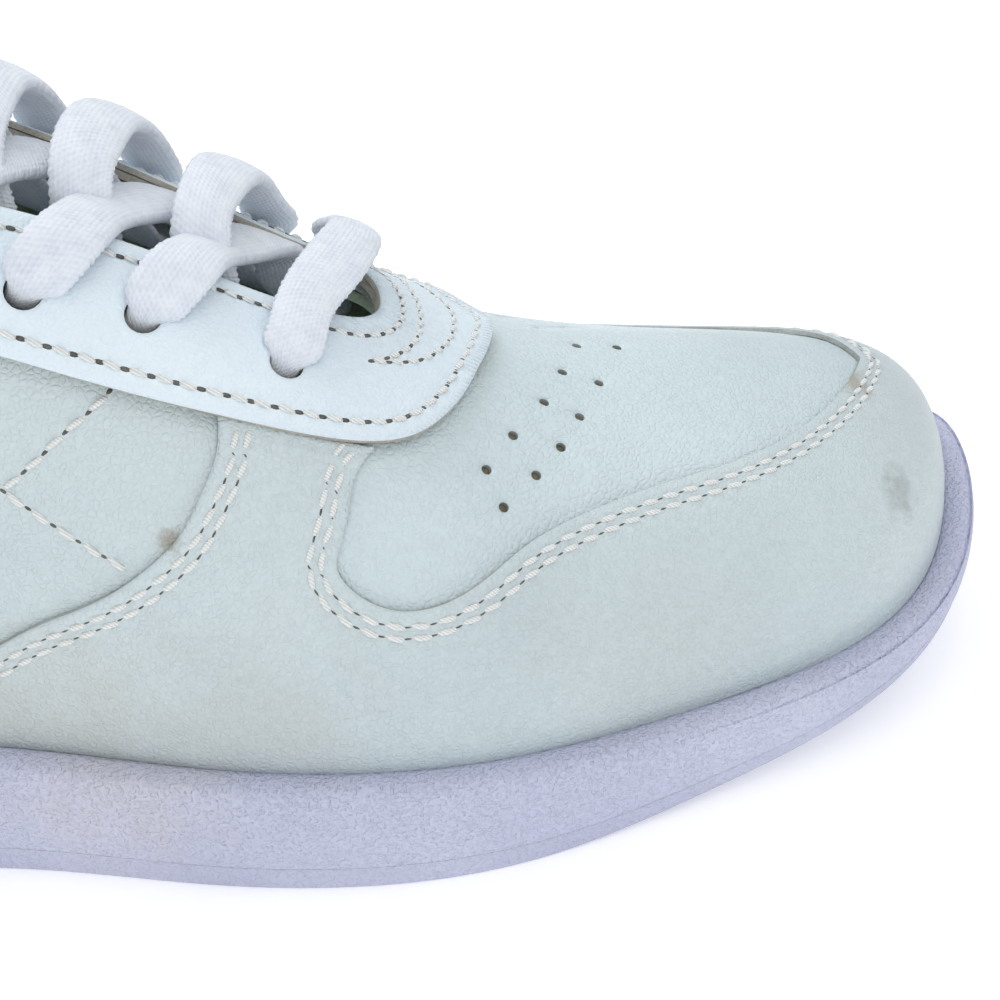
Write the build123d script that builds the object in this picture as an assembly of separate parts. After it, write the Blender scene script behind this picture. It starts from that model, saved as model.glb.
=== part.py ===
from build123d import *
import os

import numpy as np

# A low-cut cheer shoe for the right foot, in millimetres.
# The toe points to +X, the outer (lateral) side to -Y, the inner (medial) side to +Y and up is +Z.
# The origin is on the floor under the middle of the shoe.

# ---------------------------------------------------------------- driving dimensions

LENGTH = 272.5                # heel to toe, over the sole
HALF = LENGTH / 2
CENTRE_Y = 2.5                # the laces run up this line

# Plan outline of the sole, from the back of the heel round the lateral side to the toe and back.
SOLE_LATERAL = [(-HALF, 2), (-125, -19), (-98, -31), (-38, -31), (4, -42), (42, -47), (76, -40),
                (104, -31.5), (125, -14.5)]
SOLE_TIP = (HALF, 15)
SOLE_MEDIAL = [(133, 29.5), (114, 40.5), (84, 46), (56, 47), (18, 39.5), (-32, 32.5), (-98, 35),
               (-125, 23)]

# Height of the sole's rim above the floor, along the shoe.
RIM_HEIGHT = [(-HALF, 26), (-100, 24), (-45, 21), (9, 18.5), (42, 17.5), (75, 15.5), (103, 16.5),
              (121, 19), (HALF, 23.5)]
TOE_SPRING = 17.0             # how far the tip of the sole stands off the floor
TOE_SPRING_START = 45.0
HEEL_BEVEL = 3.0              # how far the back of the heel stands off the floor
HEEL_BEVEL_START = -112.0
OUTSOLE_SHARE = 0.22          # the rubber's share of the sole's height
GROOVE_MARGIN = 7.0           # from the edge of the sole to the ends of the tread's grooves
LAYER_GAP = 0.12              # glue line between two layers
RIM_ROUNDING = 1.2

FLANGE = 6.0                  # from the edge of the sole to the upper
CUP_FLANGE = 3.5              # from the edge of the sole to the cup that holds the upper
TUCK = 6.0                    # how far the upper goes down into the cup
TUCK_SHARE = 0.33             # and at the thin toe, as a share of the sole's height
BOARD_THICKNESS = 1.4
BOARD_FLANGE = 4.9
BOARD_DROP = 0.45             # from the upper's lowest edge down to the board
INSOLE_FLANGE = 11.0
INSOLE_THICKNESS = 4.0

# Half of the top line, from the heel to the front of the throat. Each row is a place round the shoe
# (0 heel, 0.5 toe), then the top line's X, its distance from the centre line and its height, and
# then how far the wall bulges out, how steep it stands, how far the crown reaches and how deep it dips.
TOP_LINE = [
    (0.000, -123.0, 0.0, 86.0, 4, 24, 2, 26),
    (0.050, -115.0, 18.0, 79.0, 4, 22, 2, 22),
    (0.100, -98.0, 26.0, 68.0, 4, 20, 2, 16),
    (0.140, -78.0, 28.5, 65.0, 3, 20, 3, 14),
    (0.170, -61.0, 26.0, 75.0, 3, 22, 6, 18),
    (0.195, -50.0, 21.0, 89.0, 3, 26, 10, 24),
    (0.215, -42.0, 17.0, 98.0, 4, 30, 14, 24),
    (0.250, -20.0, 13.5, 92.5, 5, 32, 18, 20),
    (0.285, 0.0, 11.5, 83.0, 6, 30, 20, 16),
    (0.320, 16.5, 10.5, 73.5, 5, 27, 24, 16),
    (0.360, 28.0, 9.0, 67.5, 4, 27, 26, 17),
    (0.410, 33.0, 6.5, 65.5, 4, 31, 29, 18),
    (0.455, 34.3, 3.5, 65.0, 4, 36, 31, 20),
    (0.500, 34.6, 0.0, 65.0, 4, 38, 32, 20.5),
]

# The upper's layers, as heights over the shoe's surface: the outer face, then the inner face.
EYESTAY_LAYER = (2.35, 1.25)
OVERLAY_LAYER = (1.13, 0.03)
BASE_LAYER = (-0.1, -1.2)
STIFFENER_LAYER = (-1.33, -2.2)
LINING_LAYER = (-2.33, -3.1)
COLLAR_FOAM_LAYER = (-1.33, -6.0)
COLLAR_LINING_LAYER = (-6.15, -7.0)

# Edges of the panels: places round the shoe against heights up the wall (0 sole, 1 top line).
VAMP_END = 0.291
OVERLAY_REAR = 0.135
OVERLAY_EDGE = [(0.125, 0.10), (0.17, 0.17), (0.20, 0.235), (0.219, 0.288), (0.235, 0.334),
                (0.245, 0.376), (0.2535, 0.414), (0.272, 0.424), (0.291, 0.414), (0.2955, 0.386),
                (0.301, 0.372), (0.309, 0.382), (0.318, 0.410), (0.339, 0.490), (0.371, 0.538),
                (0.400, 0.534), (0.426, 0.496), (0.464, 0.412), (0.500, 0.328)]
PILLAR_REAR = [(0.2535, 0.420), (0.260, 0.458), (0.272, 0.550), (0.279, 0.610), (0.2855, 0.690)]
PILLAR_FRONT = [(0.2915, 0.420), (0.295, 0.478), (0.302, 0.550), (0.311, 0.634), (0.3205, 0.690)]
EYESTAY_EDGE = [(0.213, 0.770), (0.230, 0.742), (0.251, 0.714), (0.274, 0.684), (0.302, 0.676),
                (0.327, 0.706), (0.353, 0.766), (0.387, 0.822), (0.439, 0.850), (0.500, 0.844)]
EYESTAY_REAR = 0.213
PILLAR_GAP = 0.003            # between the mudguard's band and its arms
BACKING_INSET = 0.055         # the eyestay's backing stops this far up inside its edge
HEEL_PATCH_SIDE = 0.118
HEEL_PATCH_TOP = 0.74
HEEL_PATCH_DIP = 0.30

COLLAR_FRONT = 0.188
COLLAR_FOAM_HEIGHTS = (0.66, 0.960)
COLLAR_LINING_HEIGHTS = (0.60, 0.972)
COUNTER_SIDE = 0.13
COUNTER_TOP = 0.56
TOE_PUFF_SIDE = 0.085
TOE_PUFF_TOP = 0.27

# Two rows of breathing holes across the vamp.
HOLE_RADIUS = 0.75
HOLE_ROWS = [
    [(0.353, 0.664), (0.381, 0.724), (0.425, 0.754), (0.466, 0.754), (0.500, 0.734)],
    [(0.346, 0.582), (0.368, 0.636), (0.392, 0.674), (0.423, 0.704), (0.461, 0.708), (0.500, 0.684)],
]

# Eyelets from the toe up; each medial row sits one row further forward than the lateral one.
LATERAL_EYELETS = [(0.312, 0.826), (0.282, 0.838), (0.259, 0.840), (0.2375, 0.850), (0.219, 0.870)]
MEDIAL_EYELETS = [(0.655, 0.880), (0.687, 0.830), (0.7165, 0.838), (0.7405, 0.840), (0.762, 0.850)]
ROWS = len(LATERAL_EYELETS)
EYELET_RADIUS = 2.3

# The lace is a flat braid. Its solid is a round cord with about the same section.
LACE_RADIUS = 1.8
LACE_UNDER = -5.8             # height of its middle under the lining
LACE_JOINT = 0.4              # where two runs meet, inside an eyelet
LACE_OVER = 6.6               # height of its middle where it turns down into an eyelet
LACE_INSIDE_EDGE = 2.5        # how far into the throat it goes before it rises
RISER_HEIGHTS = [13.9, 13.1, 12.9, 14.0]  # runs from the lateral side pass over the others
CROSS_DROPS = [8.4, 7.4, 7.4, 6.4]  # how much lower the others pass
RISE_PLACES = [-0.5, 4.5, 4.5, 4.5]  # distance before the middle where a riser is nearly up
EDGE_LIFTS = [3.4, 3.4, 3.4, 5.6]  # how far above its eyelet each comes over the edge
BAR_HEIGHT = 7.5

# The tongue's outer face, on the centre line, from under the vamp to its top.
TONGUE_LINE = [(52, 48.5), (34, 56.0), (16.5, 65.0), (0, 74.0), (-20, 83.0), (-36, 89.5),
               (-46, 94.5), (-54, 100.5), (-63, 108.5), (-70, 117.0)]
TONGUE_FOLD_X = -54.0
TONGUE_ARCH = 20.0            # radius of its arch across the foot
TONGUE_WIDTHS = [(52, 15), (34, 17), (0, 17), (-20, 16), (-46, 16), (-54, 18.5), (-61, 23),
                 (-66, 23.5), (-70, 22)]
TONGUE_LAYERS = {"face": (0.0, -1.0), "foam": (-1.12, -4.2), "lining": (-4.32, -5.1)}
FOLD_GAP = 0.35

KNOT_SIZE = (11.0, 13.0, 9.5)
KNOT_CENTRE = (-46.0, CENTRE_Y, 104.0)
KNOT_GAP = 0.6                # between the knot's side and the runs that come out of it
AGLET_LENGTH = 20.0
AGLET_RADIUS = 2.0

PANEL_COLUMNS_PER_SHOE = 170  # points round the whole shoe when a panel is drawn
PANEL_ROWS = 14

# ---------------------------------------------------------------- smooth curves


def natural_curve(knots, values):
    """Smooth cubic through the values, straight at both ends."""
    t = np.asarray(knots, float)
    y = np.asarray(values, float).reshape(len(t), -1)
    h = np.diff(t)
    n = len(t)
    a = np.eye(n)
    b = np.zeros_like(y)
    for i in range(1, n - 1):
        a[i, i - 1:i + 2] = h[i - 1], 2 * (h[i - 1] + h[i]), h[i]
        b[i] = 6 * ((y[i + 1] - y[i]) / h[i] - (y[i] - y[i - 1]) / h[i - 1])
    bend = np.linalg.solve(a, b)

    def at(x):
        x = np.asarray(x, float)
        i = np.clip(np.searchsorted(t, x) - 1, 0, n - 2)
        w = ((x - t[i]) / h[i])[..., None]
        step = h[i][..., None]
        curve = ((w ** 3 - w) * bend[i + 1] + ((1 - w) ** 3 - (1 - w)) * bend[i]) * step ** 2 / 6
        return y[i] * (1 - w) + y[i + 1] * w + curve

    return at


def closed_curve(knots, values, period):
    """Smooth cubic through the values that joins up with itself after one period."""
    laps = 3
    t = np.concatenate([np.asarray(knots, float) + period * (k - 1) for k in range(laps)])
    y = np.concatenate([np.asarray(values, float)] * laps)
    start = knots[0]
    lap = natural_curve(t, y)
    return lambda x: lap(start + np.mod(np.asarray(x, float) - start, period))


def along(points):
    """Height as a smooth function of X, or of the place round the shoe."""
    rows = sorted(points)
    curve = natural_curve([p[0] for p in rows], [p[1] for p in rows])
    return lambda x: curve(x)[..., 0]


def even_points(points, count):
    """The same path with its points evenly spaced."""
    steps = np.linalg.norm(np.diff(points, axis=0), axis=1)
    length = np.concatenate([[0], np.cumsum(steps)])
    places = np.linspace(0, length[-1], count)
    return np.stack([np.interp(places, length, points[:, k]) for k in range(points.shape[1])], 1)


# ---------------------------------------------------------------- the shoe's form

rim_height = along(RIM_HEIGHT)


def ground_height(x):
    """Underside of the sole: flat, rising at the toe and a little at the heel."""
    x = np.asarray(x, float)
    toe = np.clip((x - TOE_SPRING_START) / (HALF - TOE_SPRING_START), 0, None)
    heel = np.clip((HEEL_BEVEL_START - x) / (HEEL_BEVEL_START + HALF), 0, None)
    return TOE_SPRING * toe ** 2 + HEEL_BEVEL * heel ** 2


def sole_height(x):
    return rim_height(x) - ground_height(x)


def split_height(x):
    """Where the rubber outsole ends and the foam midsole begins."""
    return ground_height(x) + OUTSOLE_SHARE * sole_height(x)


def tuck_depth(x):
    return np.minimum(TUCK, TUCK_SHARE * sole_height(x))


def board_top(x):
    return rim_height(x) - tuck_depth(x) - BOARD_DROP


def sole_outline(inset, count=800):
    """Plan outline of the sole moved inwards, from the heel over the toe back to the heel."""
    corners = np.array(SOLE_LATERAL + [SOLE_TIP] + SOLE_MEDIAL, float)
    chords = np.linalg.norm(np.diff(np.vstack([corners, corners[:1]]), axis=0), axis=1)
    knots = np.concatenate([[0], np.cumsum(np.sqrt(chords))])
    curve = closed_curve(knots[:-1], corners, knots[-1])
    tip = knots[len(SOLE_LATERAL)]
    halves = []
    for start, end in ((0, tip), (tip, knots[-1])):
        t = np.linspace(start, end, 2000)
        step = knots[-1] * 1e-5
        direction = curve(t + step) - curve(t - step)
        inward = np.stack([-direction[:, 1], direction[:, 0]], 1)
        inward /= np.linalg.norm(inward, axis=1)[:, None]
        halves.append(even_points(curve(t) + inward * inset, count // 2 + 1))
    return np.vstack([halves[0], halves[1][1:]])


FOOT_LINE = sole_outline(FLANGE)


def foot_point(u):
    """Where the upper meets the sole, at a place round the shoe."""
    place = np.mod(u, 1.0) * (len(FOOT_LINE) - 1)
    index = np.arange(len(FOOT_LINE))
    return np.stack([np.interp(place, index, FOOT_LINE[:, k]) for k in range(2)], -1)


def top_line_rows():
    """The top line all round the shoe: the lateral half and its mirror image."""
    lateral = [(u, x, CENTRE_Y - gap, *rest) for u, x, gap, *rest in TOP_LINE]
    medial = [(1 - u, x, CENTRE_Y + gap, *rest) for u, x, gap, *rest in TOP_LINE[-2:0:-1]]
    return np.array(lateral + medial, float)


TOP_ROWS = top_line_rows()
top_line = closed_curve(TOP_ROWS[:, 0], TOP_ROWS[:, 1:], 1.0)


def surface(u, v):
    """Point of the upper: u goes round the shoe and v from the sole up to the top line."""
    u, v = np.broadcast_arrays(np.asarray(u, float), np.asarray(v, float))
    foot = foot_point(u)
    row = top_line(u)
    top, height = row[..., :2], row[..., 2]
    bulge, wall, crown, dip = (row[..., k] for k in (3, 4, 5, 6))
    outward = foot - top
    reach = np.linalg.norm(outward, axis=-1)
    outward = outward / reach[..., None]
    rim = rim_height(foot[..., 0])
    low = rim - tuck_depth(foot[..., 0])
    weights = (1 - v) ** 3, 3 * v * (1 - v) ** 2, 3 * v * v * (1 - v), v ** 3
    distances = reach, reach + bulge, crown, 0 * reach
    heights = low, rim - TUCK + wall, height - dip, height
    r = sum(w * d for w, d in zip(weights, distances))
    z = sum(w * h for w, h in zip(weights, heights))
    return np.concatenate([top + outward * r[..., None], z[..., None]], -1)


def outward_normal(u, v):
    step = 1e-3
    round_shoe = surface(u + step, v) - surface(u - step, v)
    up_wall = surface(u, np.minimum(v + step, 1)) - surface(u, np.maximum(v - step, 0))
    normal = np.cross(round_shoe, up_wall)
    return normal / np.linalg.norm(normal, axis=-1)[..., None]


def raised(u, v, height):
    """Point at a height over the surface."""
    return surface(u, v) + outward_normal(u, v) * height


# ---------------------------------------------------------------- solids from curves


def vectors(points):
    return [Vector(*map(float, p)) for p in points]


def shell_between(outer_grid, inner_grid):
    """Solid between two grids of points of the same size."""
    skins = []
    for grid in (outer_grid, inner_grid):
        skins.append(Face.make_surface_from_array_of_points([vectors(row) for row in grid]))
    inner_edges = skins[1].edges()
    sides = []
    for edge in skins[0].edges():
        partner = min(inner_edges, key=lambda e: (e.center() - edge.center()).length)
        sides.append(Face.make_surface_from_curves(edge, partner))
    solid = Solid(Shell([*skins, *sides]))
    return solid if solid.volume > 0 else Solid(Shell([-f for f in (*skins, *sides)]))


def panel_on_grid(u, v, layer):
    """Panel of the upper over a grid of places, with the thickness of its layer."""
    return shell_between(raised(u, v, layer[0]), raised(u, v, layer[1]))


def panel(start, end, low, high, layer, rows=PANEL_ROWS, columns_per_shoe=PANEL_COLUMNS_PER_SHOE):
    """Panel from one place round the shoe to another, between a lower and an upper edge."""
    columns = max(8, round((end - start) * columns_per_shoe))
    u = np.linspace(start, end, columns)[:, None]
    share = np.linspace(0, 1, rows)[None, :]
    low_edge, high_edge = low(u), high(u)
    return panel_on_grid(u + 0 * share, low_edge + (high_edge - low_edge) * share, layer)


def level(height):
    return lambda u: np.full_like(np.asarray(u, float), height)


def both_sides(edge):
    """An edge given for the lateral side, mirrored on the medial side."""
    return lambda u: edge(np.minimum(u, 1 - u))


def plan_prism(inset, low, high, points=72):
    """Upright block with the sole's outline moved inwards."""
    ring = even_points(sole_outline(inset), points + 1)[:-1]
    face = make_face(Spline(*[(x, y) for x, y in ring], periodic=True))
    return Pos(0, 0, low) * extrude(face, amount=high - low)


def height_line(height, start, end):
    """Curve along the shoe at a height that changes with X."""
    x = np.linspace(start, end, 14)
    return Spline(*[(a, float(height(a))) for a in x])


def side_block(lower, upper):
    """Block across the whole shoe between two lines seen from the side."""
    ends = [(lower @ 1, upper @ 1), (upper @ 0, lower @ 0)]
    outline = [*lower.edges(), Line(*ends[0]), *upper.edges(), Line(*ends[1])]
    face = make_face(Plane.XZ * Wire(outline))
    return extrude(face, amount=80, both=True)


def ground_line():
    """The flat of the sole as one straight line between the heel's and the toe's rises."""
    margin = 4
    heel = height_line(ground_height, -HALF - margin, HEEL_BEVEL_START)
    flat = Line((HEEL_BEVEL_START, 0), (TOE_SPRING_START, 0))
    toe = height_line(ground_height, TOE_SPRING_START, HALF + margin)
    return Wire([*heel.edges(), *flat.edges(), *toe.edges()])


def whole_line(height):
    margin = 4
    return height_line(height, -HALF - margin, HALF + margin)


# ---------------------------------------------------------------- sole and inside


def outsole():
    """Rubber tread: thin, with grooves across the ball and the heel that stop short of its edge."""
    top = whole_line(lambda x: split_height(x) - LAYER_GAP / 2)
    body = plan_prism(0.8, -1, 40) & side_block(ground_line(), top)
    groove_width, groove_depth, pitch = 2.2, 1.2, 7.0
    places = [*np.arange(22, 112, pitch), *np.arange(-121, -72, pitch)]
    grooves = []
    for x in places:
        z = float(ground_height(x))
        grooves.append(Pos(x, 0, z) * Box(groove_width, 120, 2 * groove_depth))
    middle = plan_prism(GROOVE_MARGIN, -5, 45)
    return body - [groove & middle for groove in grooves]


def midsole():
    """Foam cup with a rounded rim; the upper stands in it."""
    body = plan_prism(0, -1, 50) & side_block(whole_line(split_height), whole_line(rim_height))
    rim_edges = body.faces().sort_by(Axis.Z)[-1].edges()
    body = fillet(rim_edges, RIM_ROUNDING)
    floor = whole_line(lambda x: board_top(x) - BOARD_THICKNESS - LAYER_GAP)
    cup = plan_prism(CUP_FLANGE, 0, 60) & side_block(floor, whole_line(lambda x: 45.0 + 0.0 * x))
    return body - cup


def lasting_board():
    """Stiff fibre board that closes the upper from below."""
    low = whole_line(lambda x: board_top(x) - BOARD_THICKNESS)
    return plan_prism(BOARD_FLANGE, 0, 60) & side_block(low, whole_line(board_top))


def insole():
    """Foam footbed that lies on the board inside the lining."""
    low = whole_line(lambda x: rim_height(x) - tuck_depth(x))
    top = whole_line(lambda x: rim_height(x) - tuck_depth(x) + INSOLE_THICKNESS)
    return plan_prism(INSOLE_FLANGE, 0, 60) & side_block(low, top)


# ---------------------------------------------------------------- upper

eyestay_edge = both_sides(along(EYESTAY_EDGE))
overlay_edge = both_sides(along(OVERLAY_EDGE))


def eyelet_places(side):
    """Places of the eyelets on the lateral (-1) or medial (+1) side."""
    return LATERAL_EYELETS if side < 0 else MEDIAL_EYELETS


def pin(u, v, radius, above, below):
    """Round tool that stands square on the surface."""
    top, low = raised(u, v, above), raised(u, v, below)
    axis = Vector(*map(float, top - low))
    plane = Plane(origin=Vector(*map(float, low)), z_dir=axis)
    return plane * Cylinder(radius, axis.length, align=(Align.CENTER, Align.CENTER, Align.MIN))


def eyelet_pins(sides=(-1, 1)):
    return [pin(u, v, EYELET_RADIUS, 4, -5) for side in sides for u, v in eyelet_places(side)]


def breathing_pins():
    pins = []
    for row in HOLE_ROWS:
        for u, v in row:
            pins.append(pin(u, v, HOLE_RADIUS, 1.5, -2.0))
            if u < 0.5:
                pins.append(pin(1 - u, v, HOLE_RADIUS, 1.5, -2.0))
    return pins


def vamp():
    """Front panel with the breathing holes; its sides reach under the pillars."""
    body = panel(VAMP_END, 1 - VAMP_END, level(0.0), level(0.985), BASE_LAYER)
    return body - breathing_pins() - eyelet_pins()


def quarter(side):
    """Rear side panel from the heel seam to the pillar."""
    gap = 0.0012
    start, end = 0.002, VAMP_END - gap
    if side > 0:
        start, end = 1 - end, 1 - start
    return panel(start, end, level(0.0), level(0.985), BASE_LAYER) - eyelet_pins((side,))


def resampled(points, count):
    """Points of a smooth curve through the given ones."""
    points = np.array(points, float)
    knots = np.concatenate([[0], np.cumsum(np.linalg.norm(np.diff(points, axis=0), axis=1))])
    return natural_curve(knots, points)(np.linspace(0, knots[-1], count))


def grid_between(left, right, low, high):
    """Grid of places that fills the area between four edges, given as rows of (u, v)."""
    s = np.linspace(0, 1, len(low))[:, None, None]
    t = np.linspace(0, 1, len(left))[None, :, None]
    ruled = (1 - t) * low[:, None] + t * high[:, None] + (1 - s) * left[None] + s * right[None]
    corners = (1 - s) * (1 - t) * low[0] + s * (1 - t) * low[-1] + (1 - s) * t * high[0]
    return ruled - corners - s * t * high[-1]


def pillar(side):
    """The mudguard's arm up one side, between the vamp's window and the quarter."""
    rear, front = resampled(PILLAR_REAR, 16), resampled(PILLAR_FRONT, 16)
    across = np.linspace(0, 1, 12)[:, None]
    low, high = (rear[end] * (1 - across) + front[end] * across for end in (0, -1))
    low[:, 1] = overlay_edge(low[:, 0]) + PILLAR_GAP
    rear[0], front[0] = low[0], low[-1]
    grid = grid_between(rear, front, low, high)
    u = grid[..., 0] if side < 0 else 1 - grid[..., 0]
    return panel_on_grid(u, grid[..., 1], OVERLAY_LAYER)


def mudguard():
    """Overlay round the toe, with an arm up each side that goes under the eyestay."""
    band = panel(OVERLAY_REAR, 1 - OVERLAY_REAR, level(0.0), overlay_edge, OVERLAY_LAYER,
                 columns_per_shoe=420)
    return Compound([band, pillar(-1), pillar(1)])


def heel_patch():
    """Overlay round the back of the heel, highest over the seam."""
    def top(u):
        return HEEL_PATCH_TOP - HEEL_PATCH_DIP * (np.abs(u) / HEEL_PATCH_SIDE) ** 2

    return panel(-HEEL_PATCH_SIDE, HEEL_PATCH_SIDE, level(0.0), top, OVERLAY_LAYER)


def eyestay():
    """Stiff piece round the throat that carries the eyelets."""
    body = panel(EYESTAY_REAR, 1 - EYESTAY_REAR, eyestay_edge, level(1.0), EYESTAY_LAYER)
    return body - eyelet_pins()


def eyestay_backing():
    """Reinforcement between the eyestay and the panels under it."""
    def low(u):
        return eyestay_edge(u) + BACKING_INSET

    start = EYESTAY_REAR + 0.004
    body = panel(start, 1 - start, low, level(0.99), OVERLAY_LAYER, rows=8)
    return body - eyelet_pins()


def toe_puff():
    return panel(0.5 - TOE_PUFF_SIDE, 0.5 + TOE_PUFF_SIDE, level(0.02), level(TOE_PUFF_TOP),
                 STIFFENER_LAYER)


def heel_counter():
    return panel(-COUNTER_SIDE, COUNTER_SIDE, level(0.02), level(COUNTER_TOP), STIFFENER_LAYER)


def vamp_lining():
    body = panel(VAMP_END, 1 - VAMP_END, level(0.0), level(0.985), LINING_LAYER)
    return body - eyelet_pins()


def quarter_lining(side):
    """Lining of one side: low round the heel, and up to the eyelets further forward."""
    def top(u):
        share = np.clip((u - COLLAR_FRONT) / 0.02, 0, 1)
        return 0.585 + 0.395 * share * share * (3 - 2 * share)

    gap = 0.0012
    if side < 0:
        body = panel(0.002, VAMP_END - gap, level(0.0), top, LINING_LAYER)
    else:
        body = panel(1 - VAMP_END + gap, 0.998, level(0.0), lambda u: top(1 - u), LINING_LAYER)
    return body - eyelet_pins((side,))


def collar_foam():
    low, high = COLLAR_FOAM_HEIGHTS
    return panel(-COLLAR_FRONT, COLLAR_FRONT, level(low), level(high), COLLAR_FOAM_LAYER)


def collar_lining():
    low, high = COLLAR_LINING_HEIGHTS
    return panel(-COLLAR_FRONT, COLLAR_FRONT, level(low), level(high), COLLAR_LINING_LAYER)


# ---------------------------------------------------------------- tongue

tongue_height = along(TONGUE_LINE)
tongue_half_width = along(TONGUE_WIDTHS)


def tongue_sheet(x, across, height):
    """Point of the tongue: x along the shoe, across from -1 to 1 and a height over its face."""
    offset = across * tongue_half_width(x)
    slope = (tongue_height(x + 0.5) - tongue_height(x - 0.5))
    up = np.stack([-slope, offset / TONGUE_ARCH, np.ones_like(offset)], -1)
    up /= np.linalg.norm(up, axis=-1)[..., None]
    arch = offset ** 2 / (2 * TONGUE_ARCH)
    face = np.stack([x + 0 * offset, CENTRE_Y + offset, tongue_height(x) - arch], -1)
    return face + up * height


def tongue_layer(front, rear, layer):
    x = np.linspace(front, rear, 26)[:, None]
    across = np.linspace(-1, 1, 15)[None, :]
    grids = [tongue_sheet(x + 0 * across, across + 0 * x, height) for height in layer]
    return shell_between(*grids)


def fold_knife(x, keep_front):
    """Block that ends at the fold, square to the tongue."""
    slope = float(tongue_height(x + 0.5) - tongue_height(x - 0.5))
    direction = Vector(1, 0, slope) if keep_front else Vector(-1, 0, -slope)
    plane = Plane(origin=(x, CENTRE_Y, float(tongue_height(x))), x_dir=(0, 1, 0), z_dir=direction)
    return plane * Pos(0, 0, 100 + FOLD_GAP / 2) * Box(200, 200, 200)


def tongue_base(layer):
    """The part under the laces, sewn in at the front of the throat."""
    whole = tongue_layer(TONGUE_LINE[0][0], TONGUE_FOLD_X - 8, layer)
    return whole & fold_knife(TONGUE_FOLD_X, True)


def tongue_flap(layer):
    """The free end over the ankle."""
    whole = tongue_layer(TONGUE_FOLD_X + 8, TONGUE_LINE[-1][0], layer)
    return whole & fold_knife(TONGUE_FOLD_X, False)


# ---------------------------------------------------------------- lace


def corner_radii(points):
    """The largest radius that the two runs at each corner leave room for."""
    radii = []
    for a, b, c in zip(points, points[1:], points[2:]):
        turn = (b - a).get_angle(c - b)
        shorter = min((b - a).length, (c - b).length)
        radii.append(0.45 * shorter / np.tan(np.radians(turn) / 2))
    return radii


def cord(name, points):
    """Round cord along straight runs joined by arcs; prints its radii and its length."""
    points = vectors(points)
    radii = corner_radii(points)
    path = FilletPolyline(*points, radius=radii)
    section = Plane(origin=path @ 0, z_dir=path % 0) * Circle(LACE_RADIUS)
    solid = sweep(section, path=path)
    expected = np.pi * LACE_RADIUS ** 2 * path.length
    print(name, "radii", [round(float(r), 1) for r in radii], "length", round(path.length, 1),
          "volume share", round(solid.volume / expected, 3))
    return solid


def eyelet_frame(row, side):
    """Place of an eyelet, its outward direction and the direction up to the throat's edge."""
    u, v = eyelet_places(side)[row]
    towards_edge = surface(u, v + 0.02) - surface(u, v - 0.02)
    return surface(u, v), outward_normal(u, v), towards_edge / np.linalg.norm(towards_edge)


def start_under(row, side):
    """From inside an eyelet down, and under the eyestay out into the throat."""
    hole, out, edge = eyelet_frame(row, side)
    u = eyelet_places(side)[row][0]
    inside = raised(u, 1.0, LACE_UNDER) + edge * LACE_INSIDE_EDGE
    return [hole + out * LACE_JOINT, hole + out * LACE_UNDER, inside]


throat_height = along([(x, z) for u, x, gap, z, *rest in TOP_LINE if 0.2 < u < 0.42])


def end_over(row, side):
    """Over the eyestay's edge and down into an eyelet."""
    hole, out, edge = eyelet_frame(row, side)
    above, lift = hole + out * LACE_OVER, EDGE_LIFTS[max(row - 1, 0)]
    return [above + edge * 8 + out * lift, above, hole + out * LACE_JOINT]


def crossing(start, end, height, rise_place=4.5):
    """The two points of a run over the middle of the throat, on its way from side to side."""
    side = np.sign(start[1] - end[1])
    points = []
    for offset, drop in ((rise_place * side, 2.2), (-5.0 * side, 0.0)):
        share = (CENTRE_Y + offset - start[1]) / (end[1] - start[1])
        x = start[0] + (end[0] - start[0]) * share
        points.append(np.array([x, CENTRE_Y + offset, throat_height(x) + height - drop]))
    return points


def lace_cross(row, side):
    """Run from under one eyelet across the tongue to the next eyelet on the other side."""
    height = RISER_HEIGHTS[row] - (CROSS_DROPS[row] if side > 0 else 0)
    start, end = start_under(row, side), end_over(row + 1, -side)
    rise_place = RISE_PLACES[row] if side < 0 else 4.5
    return start + crossing(start[-1], end[0], height, rise_place) + end


def lace_bar():
    """Straight run over the front of the throat, between the two lowest eyelets."""
    left, right = end_over(0, -1), end_over(0, 1)
    middle_height = surface(0.36, 1.0)[2] + BAR_HEIGHT
    middle_x = (left[0][0] + right[0][0]) / 2 + 1.5
    middle = [np.array([middle_x, CENTRE_Y, middle_height])]
    return left[::-1] + middle + right


def knot():
    body = Box(*KNOT_SIZE)
    return Pos(*KNOT_CENTRE) * fillet(body.edges(), 2.0)


def knot_port(side, forward, up):
    """Point on a side face of the knot where a run of lace comes out."""
    x, y, z = KNOT_CENTRE
    return np.array([x + forward, y + side * (KNOT_SIZE[1] / 2 + KNOT_GAP), z + up])


def lace_lead(side):
    """From the top eyelet under the eyestay and up to the knot."""
    port = knot_port(side, 2.4, -2.3) + np.array([0, side * 0.5, 0])
    outside = port + np.array([0, side * 3.0, -1.5])
    return start_under(ROWS - 1, side) + [outside, port]


def bow_loop(side):
    """One ear of the bow, hanging down the side of the shoe."""
    x, y, z = KNOT_CENTRE
    route = [(-3, 14, 2.5), (-6.5, 23, -2), (-11, 31, -11), (-12.5, 35.5, -23), (-8, 37.5, -31.5),
             (-2.5, 37, -26), (-0.8, 33.5, -16), (-1.2, 26.5, -7), (-2.2, 17, -2.8)]
    points = [np.array([x + a, y + side * b, z + c]) for a, b, c in route]
    return [knot_port(side, -2.6, 2.3)] + points + [knot_port(side, -2.6, -2.4)]


def lace_tail_route(side):
    x, y, z = KNOT_CENTRE
    route = [(3, 14, 2.5), (4.5, 23.5, -1.5), (6, 32, -11), (7.5, 37.5, -24), (7.5, 39, -37)]
    points = [np.array([x + a, y + side * b, z + c]) for a, b, c in route]
    return [knot_port(side, 2.4, 2.3)] + points


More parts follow.
